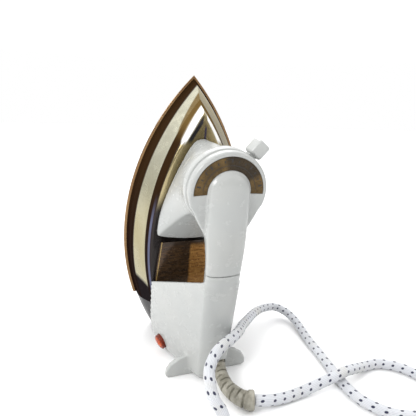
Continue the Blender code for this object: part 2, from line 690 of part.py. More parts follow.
def make_rear_cover(stand):
    rings = [body_section(SEAM_Y - 0.2, 116.0, (12.9, 111.0), (6.2, 91.2), 0.6, 1.2),
             body_section(104.0, 115.4, (13.4, 110.4), (7.6, 90.8), 0.8, 0.9),
             body_section(100.0, 115.1, (13.5, 110.1), (10.8, 90.8), 1.0, 0.4)]
    for y, foot_z in ((96.0, 91.4), (88.0, 76.6), (80.0, 61.8)):
        rings.append(rear_section(y, foot_z, station=y))
    for y in (71.5, 60.0, 46.0, 36.0, 28.0, 22.5):
        rings.append(rear_section(y, FLANK_FOOT_Z, station=y))
    rings.append(rear_section(18.0, FLANK_FOOT_Z, 0.4, None, 4.2, foot_y=13.0))
    rings.append(rear_section(16.0, FLANK_FOOT_Z, 2.6, None, 1.0, foot_y=9.0))
    cover = solid("rear_cover", rings, WHITE, stand)
    for side in (-1, 1):
        join(cover, heel_foot("right" if side > 0 else "left", side, stand))
    hollow = []
    for y, foot_z in ((86.0, 86.0), (78.0, 71.0), (70.0, 56.0), (62.0, 40.0), (44.0, 40.0),
                      (30.0, 40.0), (25.0, 40.0)):
        hollow.append(rear_section(y, foot_z, REAR_WALL, station=y))
    hollow.append(rear_section(17.0, 40.0, REAR_WALL + 1.2, None, 5.0, foot_y=12.0))
    cut(cover, solid("cut_rear_hollow", hollow, None, stand))
    for number, (x, y) in enumerate(REAR_SCREWS):
        join(cover, rod(f"fill_rear_boss_{number}", (x, y, FLANK_FOOT_Z), (x, y, 67.0), 4.4, None, stand))
        cut(cover, rod(f"cut_rear_boss_{number}", (x, y, 40.0), (x, y, 58.5), 2.0, None, stand))
        side = "left" if x < 0 else "right"
        screw(f"rear_screw_{side}", (x, y, 41.0), (x, y, 58.0), 3.4, 3.0, 1.7, STEEL, stand)
    tie = (0, 80, TIE_SCREW_Z), (0, 116, TIE_SCREW_Z)
    cut(cover, rod("cut_rear_tie", *tie, SCREW_RADIUS + GAP, None, stand))
    tie = (0, 82.0, TIE_SCREW_Z), (0, 138.5, TIE_SCREW_Z)
    screw("handle_tie_screw", *tie, 4.0, 3.0, SCREW_RADIUS, STEEL, stand)
    inside = Vector(BUSH_ROUTE[0])
    outwards = (Vector(BUSH_ROUTE[1]) - inside).normalized()
    cut(cover, rod("cut_cord_outlet", inside - outwards * 8.0, inside + outwards * 16.0, 6.0, None))
    lamp = Vector(LAMP_CENTRE)
    normal = LAMP_NORMAL.normalized()
    bore = lamp - normal * 12.0, lamp + normal * 6.0
    cut(cover, rod("cut_lamp_hole", *bore, LAMP_RADIUS + GAP, None, stand, 20))


def heel_foot(name, side, stand):
    """One flat wing that the iron stands on."""
    rings = []
    for z in FOOT_Z:
        low = z * math.tan(LEAN)
        outline = [(8.0, low), (31.5, low), (33.6, low + 2.6), (32.8, 21.5), (30.0, 26.0),
                   (24.0, 30.5), (14.0, 34.0), (8.0, 34.0)]
        rings.append([(x * side, y, z) for x, y in outline])
    return solid(f"fill_foot_{name}", rings, None, stand)


# ---------------------------------------------------------------- lamp, terminals and leads

# Each terminal's name, its place across the block and the colour of its lead.
TERMINALS = [
    ("live", -9.0, (0.35, 0.14, 0.05)),
    ("earth", 0.0, (0.15, 0.45, 0.10)),
    ("neutral", 9.0, (0.05, 0.12, 0.50)),
]
LEAD_RADIUS = 1.1
LEAD_SLEEVE = ((0.75, 0.73, 0.66), 0.8)


def make_lamp(stand):
    lamp = Vector(LAMP_CENTRE)
    normal = LAMP_NORMAL.normalized()
    depths = [-3.6, 0.6, 1.7, 2.3]
    radii = [LAMP_RADIUS, LAMP_RADIUS, LAMP_RADIUS * 0.8, LAMP_RADIUS * 0.4]
    swept("pilot_lens", [lamp + normal * depth for depth in depths], radii, LENS, stand, sides=20)
    start = Vector((-21.0, 25.0, 58.0))
    end = Vector((-11.0, 32.0, 54.0))
    path = [start.lerp(end, share) for share in (0.0, 0.12, 0.88, 1.0)]
    swept("neon_lamp", path, [1.4, 2.6, 2.6, 1.4], GLASS, stand)


def make_terminals(stand):
    block = box("terminal_block", (-15, 44, ROOF_Z + 0.4), (15, 60, 57), CERAMIC, stand)
    for name, x, _ in TERMINALS:
        cut(block, rod(f"cut_terminal_{name}", (x, 52, 50.5), (x, 52, 60), 1.7, None, stand))
        screw(f"terminal_screw_{name}", (x, 52, 59.6), (x, 52, 51.0), 3.0, 2.3, 1.4, BRASS, stand)
    for number, (name, x, colour) in enumerate(TERMINALS):
        end_x = 3.6 + 2.6 * number
        route = [(x, 57.4, 58.7), (x, 58.0, 68.0), ((x + end_x) / 2, 52.0, 84.0),
                 (end_x, 41.0, 94.0), (end_x, 38.4, 96.2)]
        tube(f"lead_{name}", smooth_path(route, 6.0), LEAD_RADIUS, (colour, 0.5), stand, 0)
    for side, x in (("left", -1.0), ("right", 1.0)):
        route = [(20 * x, 24.4, ELEMENT_Z), (19 * x, 17.5, 13.0), (15 * x, 20.0, 28.0),
                 (12.5 * x, 25.0, 42.0), (11 * x, 34.0, 52.0), (9 * x, 43.4, 54.0)]
        tube(f"element_lead_{side}", smooth_path(route, 6.0), LEAD_RADIUS, LEAD_SLEEVE, stand, 0)


# ---------------------------------------------------------------- cord, coil and plug

def make_cord():
    bush = smooth_path(BUSH_ROUTE, 5.0)
    radii = [bush_radius(k / (len(bush) - 1)) for k in range(len(bush))]
    swept("cord_bush", bush, radii, RUBBER, sides=14)
    tube("cord", smooth_path(CORD_ROUTE, 10.4), CORD_RADIUS, CORD_CLOTH)
    centre = Vector((*COIL_CENTRE, 0.0))
    rings = []
    for step in range(32):
        angle = 2 * math.pi * step / 32
        outwards = Vector((math.cos(angle), math.sin(angle), 0.0))
        section = coil_outline(COIL_HALF, COIL_Z)
        rings.append([centre + outwards * r + Vector((0, 0, z)) for r, z in section])
    solid("cord_coil", rings, CORD_CLOTH, caps=False)
    make_tie(centre)
    tangent = centre + Vector((0.0, -TAIL_RADIUS, PLUG_Z))
    along = Vector((math.cos(TAIL_ANGLE), math.sin(TAIL_ANGLE), 0.0))
    ends = [tangent + along * span for span in TAIL_SPAN]
    tube("cord_tail", ends, CORD_RADIUS, CORD_CLOTH)
    make_plug(ends[1] + along * GAP, along)


def bush_radius(share):
    """The strain relief widens towards its outer collar."""
    position = share * (len(BUSH_RADII) - 1)
    k = min(int(position), len(BUSH_RADII) - 2)
    return BUSH_RADII[k] + (BUSH_RADII[k + 1] - BUSH_RADII[k]) * (position - k)


def coil_outline(half, heights):
    """The coil's section, radius and height, with its corners cut off."""
    low, high = heights
    corner = 3.0
    return [(COIL_RADIUS - half, low + corner), (COIL_RADIUS - half + corner, low),
            (COIL_RADIUS + half - corner, low), (COIL_RADIUS + half, low + corner),
            (COIL_RADIUS + half, high - corner), (COIL_RADIUS + half - corner, high),
            (COIL_RADIUS - half + corner, high), (COIL_RADIUS - half, high - corner)]


def make_tie(centre):
    angle = math.radians(20)
    outwards = Vector((math.cos(angle), math.sin(angle), 0.0))
    across = Vector((-outwards.y, outwards.x, 0.0)) * 3.0
    loops = []
    for grow, side in ((1.3, -1), (1.3, 1), (0.4, 1), (0.4, -1)):
        outline = coil_outline(COIL_HALF + grow, (COIL_Z[0] - grow, COIL_Z[1] + grow))
        loops.append([centre + outwards * r + Vector((0, 0, z)) + across * side for r, z in outline])
    solid("coil_tie", loops, BLACK, caps=False)


def make_plug(boot_at, along):
    """Moulded plug with three round pins, the earth pin uppermost."""
    path = [boot_at + along * depth for depth, _ in PLUG_PROFILE]
    swept("plug_body", path, [radius for _, radius in PLUG_PROFILE], BLACK, sides=20)
    across = Vector((0, 0, 1)).cross(along)
    for name, (aside, rise, radius, length) in PLUG_PINS.items():
        start = path[-1] + across * aside + Vector((0, 0, rise)) + along * GAP
        rod(f"plug_pin_{name}", start, start + along * length, radius, BRASS)


def main():
    clear_scene()
    stand = bpy.data.objects.new("stand", None)
    bpy.context.scene.collection.objects.link(stand)
    stand.rotation_euler = (math.radians(90) + LEAN, 0.0, 0.0)
    stand.location = Vector((0.0, STAND_Y, 0.0)) * MM
    make_soleplate(stand)
    make_element(stand)
    make_clamping_stack(stand)
    make_thermostat(stand)
    make_cover(stand)
    make_name_plate(stand)
    make_heel_block(stand)
    make_front_base(stand)
    make_dial(stand)
    make_thermostat_pin(stand)
    make_handle(stand)
    make_rear_cover(stand)
    make_lamp(stand)
    make_terminals(stand)
    make_cord()


main()
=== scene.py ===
"""A dry iron stood on its heel: its visible pieces, finishes, floor, light and camera.

The iron is described lying on its sole in millimetres: x across it, y from the heel to the tip and
z up from the sole. STAND turns that onto the table, in metres. The cord is described in place.
"""

import json
from math import atan2, cos, pi, radians, sin, sqrt, tan

import bmesh
import bpy
from mathutils import Matrix, Vector


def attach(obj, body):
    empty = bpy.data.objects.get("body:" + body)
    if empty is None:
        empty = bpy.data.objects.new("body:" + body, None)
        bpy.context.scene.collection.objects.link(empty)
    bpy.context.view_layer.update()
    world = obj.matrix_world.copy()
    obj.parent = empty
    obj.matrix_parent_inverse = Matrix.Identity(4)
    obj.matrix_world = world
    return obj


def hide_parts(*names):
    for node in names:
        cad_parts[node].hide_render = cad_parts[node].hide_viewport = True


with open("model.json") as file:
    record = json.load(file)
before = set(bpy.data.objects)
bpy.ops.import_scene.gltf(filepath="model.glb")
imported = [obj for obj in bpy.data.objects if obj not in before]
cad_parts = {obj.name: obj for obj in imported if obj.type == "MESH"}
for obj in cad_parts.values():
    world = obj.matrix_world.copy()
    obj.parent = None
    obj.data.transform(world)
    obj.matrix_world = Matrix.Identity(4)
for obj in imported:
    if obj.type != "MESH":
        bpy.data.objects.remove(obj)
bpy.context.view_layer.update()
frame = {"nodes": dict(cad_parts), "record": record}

# ---- sizes, as in the CAD

MM = 0.001
LEAN = radians(8.4)
STAND_Y = 69.471
STAND_TURN = radians(90) + LEAN
STAND = (Matrix.Translation((0, STAND_Y * MM, 0)) @ Matrix.Rotation(STAND_TURN, 4, "X")
         @ Matrix.Scale(MM, 4))
WORLD_MM = Matrix.Scale(MM, 4)

SIDE_RADIUS = 196.4
HALF_WIDTH = 54.7
WIDEST_Y = 100
HEEL_Y = 42.2
ROOF_Z = 45.5

DIAL_Y = 170
HEAD_RADIUS = 27.2
HEAD_Z = (99.6, 107)
RING_RADIUS = (20.5, 27.6)
RING_Z = (90.6, 99.2)
LEVER_ANGLE = radians(-40)
KNOB_SPAN = (28.6, 40.2)
KNOB_WIDTH = 10.6
KNOB_Z = (90.2, 100.8)
LABEL_RADIUS = (15.2, 24)
LABEL_Z = (106.7, 107.1)
MARK_Z = (107, 107.16)

SEAM_Y = 112.4
FLANK_FOOT_HALF = 36.5
FLANK_FOOT_Z = 46
FLANK_KNEE_Y = 71.5
CROWN = 5
FOOT_Z = (93, 97)
LAMP_CENTRE = Vector((-30.4, 20.6, 61.8))
LAMP_NORMAL = Vector((-0.9, -0.26, 0.35)).normalized()
LAMP_RADIUS = 6.4
NECK_RADIUS = 24.5
SKIRT_MIDDLE_Y = 155
NECK_AIM_Y = 160
HEAD_MIDDLE_Y = 165

# Sole's side, from the underside up, as inset and height.
SOLE_PROFILE = [
    (6.4, 0), (5.2, 0.2), (4.5, 0.7), (4.1, 1.5), (3.5, 3.6), (2.7, 6.4), (1.8, 9.6), (1.5, 11.2),
    (1.7, 11.8), (2.2, 12),
]
# Cover's outer skin, from the rim up to the roof: inset and height.
COVER_PROFILE = [
    (0.1, 12.45), (0, 12.9), (0.25, 13.25), (0.9, 13.4), (2.5, 13.4), (2.9, 13.5), (3.2, 13.9),
    (3.5, 15.4), (4.5, 22.4), (4.9, 23.8), (5.5, 24.9), (6.3, 26), (9.6, 30.8), (13.1, 35.9),
    (13.7, 37), (14, 38.2), (14.6, 41.6), (15, 42.9), (15.6, 44), (16.5, 44.9), (17.6, 45.4),
    (19, 45.5), (24, 45.5),
]

# Where the cover's painted reflection and painted shade bands change: insets from its edge, and the station
# of the painted dark reflection by the heel.
RIM_TO_FLANGE = (1.9, 2.5)
FLANGE_TO_SLOPE = (6, 6.7)
SLOPE_TO_FOLD = (13.6, 14)
FOLD_TO_ROOF = (17.3, 17.7)
HEEL_DARK_REFLECTION = (71, 76)

# Front base: its skirt on the cover, and how far each height has turned into the neck.
SKIRT = [
    (0, 110.5), (16, 111.4), (30.5, 114), (33, 117.5), (31.4, 132), (26.8, 148),
    (20.8, 163), (15, 175.5), (10, 185), (5.5, 190.4), (0, 192.3),
]
BASE_BLEND = [
    (45.8, 0), (49, 0), (51, 0.08), (56, 0.27), (63, 0.5), (71, 0.72),
    (79, 0.88), (86, 0.97), (90, 1),
]
GRIP = [
    # station y, ridge z, crease (x, z), lower corner (x, z), bulge
    (112.6, 116, (12.9, 111), (6.2, 91.2), 0.6),
    (121, 116.1, (13.3, 111.1), (6.8, 91.8), 0.7),
    (130, 116, (13.8, 110.9), (8.8, 94.2), 0.8),
    (136, 115.7, (14, 110.5), (10.5, 97.4), 0.8),
    (141.4, 115.4, (14.2, 110), (12.3, 101.4), 0.8),
    (158, 113.9, (14.3, 108.6), (13.6, 101.6), 0.5),
    (170, 112.6, (14.3, 107.6), (13.8, 101.6), 0.3),
]

# Cord, in millimetres on the table.
CORD_RADIUS = 3.9
BUSH_ROUTE = [
    (6, -34.6, 20.5), (5.1, -42.3, 13.8), (4.6, -51, 9.6), (5.2, -61, 7.5),
    (8.2, -70.6, 7.2), (12.6, -77, 7.2), (18, -79.2, 7.2),
]
BUSH_RADII = (5.3, 5.3, 5.2, 5.5, 5.9, 6.2, 6.9)
SLIT_START = 9
SLIT_PITCH = 4.3
SLIT_HALF = 0.65
FLECK_PITCH = 8.2
CORD_ROUTE = [
    (18.52, -79.41, 7.2), (26, -81.5, 7), (34, -81.3, 5.8), (44, -80, 4.7),
    (57, -78.2, 4.6), (72, -78.6, 8.6), (86, -79, 12.6), (97, -76.5, 12.9),
    (109, -72, 9.4), (124, -66.5, 5), (139, -66.5, 4.3), (153, -77, 4.3),
    (159, -95, 4.3), (150, -115, 4.3), (131, -124, 4.3), (109, -118.5, 4.3),
    (95.5, -101, 4.3), (93.5, -81, 4.2), (96.5, -58, 4.2), (99.3, -40, 4.3),
    (101.5, -22, 4.4), (104.5, -4, 5), (107, 14, 6.4), (104.5, 28.5, 8.6),
    (94.5, 35.5, 12), (77.9, 29.1, 15.5), (62.1, 15, 20), (45.8, -5.5, 26.5),
    (30, -27.5, 34.5), (21.8, -41, 39.5), (11.5, -54, 43.5), (-3.2, -66.6, 45),
    (-10.7, -72.4, 42.5), (-16, -78.9, 38), (-18.3, -86.9, 33), (-17.6, -93.8, 27),
    (-14, -98.4, 21), (-12.8, -107, 13.6), (-12.2, -117, 7.4), (-12.2, -130, 4.5),
    (-12.2, -146.5, 4.3),
]
COIL_CENTRE = Vector((37, -178, 0))
COIL_OUTER = 49.2
COIL_INNER = 41.2
COIL_LEVELS = (5, 13, 19.9)
COIL_TURNS = 4.25
TAIL_SPAN = 48
TAIL_ANGLE = radians(-8)
PLUG_Z = 18.4
SLEEVE_GAP = 0.3

# Stage, in metres and degrees.
FLOOR_REACH = 6
LIT_POINT = (0, 0, 0.1)
CAMERA_PLACE = (-0.09756, -0.2963, 0.20125)
CAMERA_TURN = (76.906, -1.746, -19.088)


# ---- curves and rings

def spline(knots, steps):
    """Points on a smooth curve from the second knot to the last but one."""
    out = []
    for a, b, c, d in zip(knots, knots[1:], knots[2:], knots[3:]):
        for t in (step / steps for step in range(steps)):
            out.append(0.5 * (2 * b + (c - a) * t + (2 * a - 5 * b + 4 * c - d) * t ** 2
                              + (3 * b - a - 3 * c + d) * t ** 3))
    return out


def smooth_open(points, steps):
    knots = [Vector(p) for p in points]
    return spline([2 * knots[0] - knots[1]] + knots + [2 * knots[-1] - knots[-2]], steps) + [knots[-1]]


def smooth_closed(points, steps):
    knots = [Vector(p) for p in points]
    return spline(knots[-1:] + knots + knots[:2], steps)


def distances(points):
    """How far along the line each point is."""
    out = [0.0]
    for before, after in zip(points, points[1:]):
        out.append(out[-1] + (after - before).length)
    return out


def even(points, spacing):
    """The same line with its points evenly spaced."""
    lengths = distances(points)
    count = max(2, round(lengths[-1] / spacing))
    out, k = [], 0
    for step in range(count + 1):
        target = lengths[-1] * step / count
        while k < len(points) - 2 and lengths[k + 1] < target:
            k += 1
        span = max(lengths[k + 1] - lengths[k], 1e-9)
        out.append(points[k].lerp(points[k + 1], (target - lengths[k]) / span))
    return out


def stretch(rings, steps):
    """Rings added between the given ones, on straight lines."""
    out = []
    for low, high in zip(rings, rings[1:]):
        for step in range(steps):
            out.append([Vector(a).lerp(Vector(b), step / steps) for a, b in zip(low, high)])
    return out + [[Vector(p) for p in rings[-1]]]


def circle(radius, z, centre=(0, 0), sides=96):
    out = []
    for step in range(sides):
        angle = 2 * pi * step / sides
        out.append(Vector((centre[0] + radius * cos(angle), centre[1] + radius * sin(angle), z)))
    return out


def at_height(outline, z):
    return [Vector((x, y, z)) for x, y in outline]


def half_width(y, inset=0):
    radius = SIDE_RADIUS - inset
    return sqrt(max(radius ** 2 - (y - WIDEST_Y) ** 2, 0)) - (SIDE_RADIUS - HALF_WIDTH)


def sole_outline(inset, heel_y, steps=90):
    """The pointed outline, from the right heel corner round the tip to the left one."""
    reach = sqrt((SIDE_RADIUS - inset) ** 2 - (SIDE_RADIUS - HALF_WIDTH) ** 2)
    tip_y = WIDEST_Y + reach
    right = []
    for step in range(steps):
        share = step / steps
        y = heel_y + (tip_y - heel_y) * (1 - (1 - share) ** 1.25)
        right.append((half_width(y, inset), y))
    left = [(-x, y) for x, y in reversed(right)]
    return right + [(0, tip_y)] + left


def dial_point(radius, angle, z):
    """A point about the dial's axis, with angle 0 towards the tip and positive to the left."""
    return Vector((-radius * sin(angle), DIAL_Y + radius * cos(angle), z))


# ---- meshes

def put(name, data):
    obj = bpy.data.objects.new(name, data)
    bpy.context.scene.collection.objects.link(obj)
    return obj


def new_object(name, mesh, transform=STAND):
    mesh.transform(transform)
    mesh.update()
    for polygon in mesh.polygons:
        polygon.use_smooth = True
    return put(name, mesh)


def loft(name, rings, transform=STAND, looped=False):
    """A skin over rings of equal length; looped joins the last ring to the first."""
    count = len(rings[0])
    verts = [tuple(p) for ring in rings for p in ring]
    faces = []
    for k in range(len(rings) if looped else len(rings) - 1):
        low, high = k * count, ((k + 1) % len(rings)) * count
        for i in range(count):
            j = (i + 1) % count
            faces.append((low + i, low + j, high + j, high + i))
    if not looped:
        faces.append(tuple(reversed(range(count))))
        faces.append(tuple(range((len(rings) - 1) * count, len(rings) * count)))
    mesh = bpy.data.meshes.new(name)
    mesh.from_pydata(verts, [], faces)
    fix = bmesh.new()
    fix.from_mesh(mesh)
    bmesh.ops.remove_doubles(fix, verts=fix.verts, dist=1e-4)
    bmesh.ops.recalc_face_normals(fix, faces=fix.faces)
    fix.to_mesh(mesh)
    fix.free()
    return new_object(name, mesh, transform)


def settle(obj):
    """Put the result of the object's modifiers into its mesh."""
    view = bpy.context.evaluated_depsgraph_get()
    view.update()
    mesh = bpy.data.meshes.new_from_object(obj.evaluated_get(view))
    obj.modifiers.clear()
    old = obj.data
    obj.data = mesh
    bpy.data.meshes.remove(old)
    for polygon in obj.data.polygons:
        polygon.use_smooth = True
    return obj


def combine(obj, operation, others):
    """Join the other objects to this one, or cut them from it."""
    for k, other in enumerate(others):
        step = obj.modifiers.new(f"{operation}_{k}", "BOOLEAN")
        step.operation = operation
        step.solver = "EXACT"
        step.object = other
    settle(obj)
    for other in others:
        bpy.data.objects.remove(other, do_unlink=True)
    return obj


def moulded(obj, voxel, passes, join=()):
    """One skin over the object and the ones joined to it, its corners softened as in a moulding."""
    if join:
        combine(obj, "UNION", join)
    remesh = obj.modifiers.new("remesh", "REMESH")
    remesh.mode = "VOXEL"
    remesh.voxel_size = voxel * MM
    soften = obj.modifiers.new("soften", "SMOOTH")
    soften.factor = 0.5
    soften.iterations = passes
    return settle(obj)


def cut(obj, *cutters):
    return combine(obj, "DIFFERENCE", cutters)


def rounded(obj, width, segments=3, angle=30):
    bevel = obj.modifiers.new("round", "BEVEL")
    bevel.width = width * MM
    bevel.segments = segments
    bevel.limit_method = "ANGLE"
    bevel.angle_limit = radians(angle)
    return settle(obj)


def frames(path):
    """A steady pair of directions across the path at each of its points."""
    out = []
    side = None
    for k, point in enumerate(path):
        along = (path[min(k + 1, len(path) - 1)] - path[max(k - 1, 0)]).normalized()
        if side is None:
            side = along.cross(Vector((0, 0, 1)))
            if side.length < 0.1:
                side = along.orthogonal()
        side = (side - along * side.dot(along)).normalized()
        out.append((side.copy(), side.cross(along)))
    return out


def swept(name, path, radii, sides=24, transform=STAND, shape=None):
    """A round body along a path; shape(k, angle) may change the radius."""
    rings = []
    for k, (point, (side, rise)) in enumerate(zip(path, frames(path))):
        ring = []
        for step in range(sides):
            angle = 2 * pi * step / sides
            radius = radii[k] + (shape(k, angle) if shape else 0)
            ring.append(point + side * (radius * cos(angle)) + rise * (radius * sin(angle)))
        rings.append(ring)
    return loft(name, rings, transform=transform)


def rod(name, start, end, radius, sides=48, transform=STAND):
    return swept(name, [Vector(start), Vector(end)], [radius, radius], sides, transform)


def sector(name, radii, start, end, heights, steps=120):
    """A thin arc about the dial's axis."""
    outline = []
    for radius, turns in ((radii[0], range(steps + 1)), (radii[1], reversed(range(steps + 1)))):
        outline += [dial_point(radius, start + (end - start) * k / steps, 0)[:2] for k in turns]
    return loft(name, [at_height(outline, z) for z in heights])


# ---- finishes

def arithmetic(operation, swapped=False):
    if swapped:
        return lambda signal, other: signal.look.math(operation, other, signal)
    return lambda signal, other=0.0: signal.look.math(operation, signal, other)


class Signal:
    """A number that runs through a material's nodes, with the usual arithmetic."""

    def __init__(self, look, socket):
        self.look, self.socket = look, socket

    __add__ = arithmetic("ADD")
    __sub__ = arithmetic("SUBTRACT")
    __rsub__ = arithmetic("SUBTRACT", swapped=True)
    __mul__ = arithmetic("MULTIPLY")
    __truediv__ = arithmetic("DIVIDE")
    __abs__ = arithmetic("ABSOLUTE")


class Finish:
    """A node material; every texture reads the object's own coordinates in millimetres."""

    def __init__(self, name, colour, roughness, metallic=0, local=True):
        self.material = bpy.data.materials.new(name)
        self.material.use_nodes = True
        self.nodes = self.material.node_tree.nodes
        self.links = self.material.node_tree.links
        self.shader = self.nodes["Principled BSDF"]
        self.set(Base_Color=(*colour, 1), Roughness=roughness, Metallic=metallic)
        mapping = self.node("Mapping", Scale=(MM, MM, MM),
                            Vector=self.node("TexCoord").outputs["Object"])
        mapping.vector_type = "TEXTURE"
        if local:
            mapping.inputs["Location"].default_value = (0, STAND_Y * MM, 0)
            mapping.inputs["Rotation"].default_value = (STAND_TURN, 0, 0)
        self.place = mapping.outputs["Vector"]

    def feed(self, socket, value):
        value = getattr(value, "socket", value)
        if isinstance(value, bpy.types.NodeSocket):
            self.links.new(value, socket)
        else:
            socket.default_value = value

    def set(self, **values):
        """Set the shader's inputs, or link them."""
        for name, value in values.items():
            self.feed(self.shader.inputs[name.replace("_", " ")], value)

    def node(self, kind, **values):
        node = self.nodes.new("ShaderNode" + kind)
        for name, value in values.items():
            self.feed(node.inputs[name], value)
        return node

    def math(self, operation, a, b=0):
        node = self.nodes.new("ShaderNodeMath")
        node.operation = operation
        self.feed(node.inputs[0], a)
        self.feed(node.inputs[1], b)
        return Signal(self, node.outputs[0])

    def range(self, value, low, high, to_low=0, to_high=1):
        """Carry a value's range to another, easing in and out at its ends."""
        node = self.nodes.new("ShaderNodeMapRange")
        node.interpolation_type = "SMOOTHSTEP"
        for socket, item in zip(node.inputs[:5], (value, low, high, to_low, to_high)):
            self.feed(socket, item)
        return Signal(self, node.outputs[0])

    def band(self, value, start, full, fade, end):
        """One between full and fade, nothing before start and after end."""
        return self.range(value, start, full) * self.range(value, end, fade)

    def split(self, vector=None):
        node = self.node("SeparateXYZ", Vector=vector or self.place)
        return [Signal(self, output) for output in node.outputs]

    def scaled(self, scale):
        return self.node("Mapping", Scale=scale, Vector=self.place).outputs["Vector"]

    def noise(self, scale, detail=3, roughness=0.5, vector=None):
        node = self.node("TexNoise", Scale=scale, Detail=detail, Roughness=roughness,
                         Vector=vector or self.place)
        return Signal(self, node.outputs["Fac"])

    def voronoi(self, scale):
        return Signal(self, self.node("TexVoronoi", Scale=scale, Vector=self.place).outputs["Distance"])

    def mix(self, factor, a, b):
        node = self.nodes.new("ShaderNodeMix")
        node.data_type = "RGBA"
        self.feed(node.inputs["Factor"], factor)
        for name, item in (("A", a), ("B", b)):
            self.feed(node.inputs[name], item if isinstance(item, bpy.types.NodeSocket) else (*item, 1))
        return node.outputs["Result"]

    def bump(self, height, distance, strength=1):
        """Relief, with the distance in millimetres."""
        node = self.node("Bump", Strength=strength, Distance=distance * MM, Height=height)
        previous = self.shader.inputs["Normal"]
        if previous.is_linked:
            self.links.new(previous.links[0].from_socket, node.inputs["Normal"])
        self.links.new(node.outputs["Normal"], previous)


def plastic(name, colour, roughness, local=True, warm=0):
    """Moulded plastic: a fine spark-eroded grain, faint flow marks and a trace of wear."""
    look = Finish(name, colour, roughness, local=local)
    darker = [c * 0.975 for c in colour]
    lighter = [min(c * gain, 1) for c, gain in zip(colour, (1.01 + warm, 1.01, 1.01 - warm))]
    shade = look.mix(look.range(look.noise(0.035, 4, 0.55), 0.35, 0.68), darker, lighter)
    speck = look.range(look.noise(1.9, 2, 0.6), 0.69, 0.76)
    worn = look.range(look.noise(0.11, 5, 0.6), 0.3, 0.7, roughness * 0.94, roughness * 1.08)
    look.set(Base_Color=look.mix(speck * 0.08, shade, [c * 0.6 for c in colour]), Roughness=worn,
             Coat_Weight=0.1, Coat_Roughness=0.16, IOR=1.49)
    look.bump(look.noise(1.1, 2), 0.003)
    return look


def metal(name, colour, roughness, grain=(0.4, 0.4, 12), depth=0.006, local=True):
    """Bright metal with a fine directional grain, smudges and a few scuffs."""
    look = Finish(name, colour, roughness, 1, local)
    lines = look.noise(1, 3, 0.6, look.scaled(grain))
    smudge = look.noise(0.045, 4, 0.6)
    look.set(Base_Color=look.mix(look.range(smudge, 0.35, 0.7), [c * 0.88 for c in colour], colour),
             Roughness=look.range(lines, 0.3, 0.7, roughness * 0.75, roughness * 1.2)
             + look.range(smudge, 0.45, 0.75, 0, roughness * 0.5))
    look.bump(lines, depth)
    return look





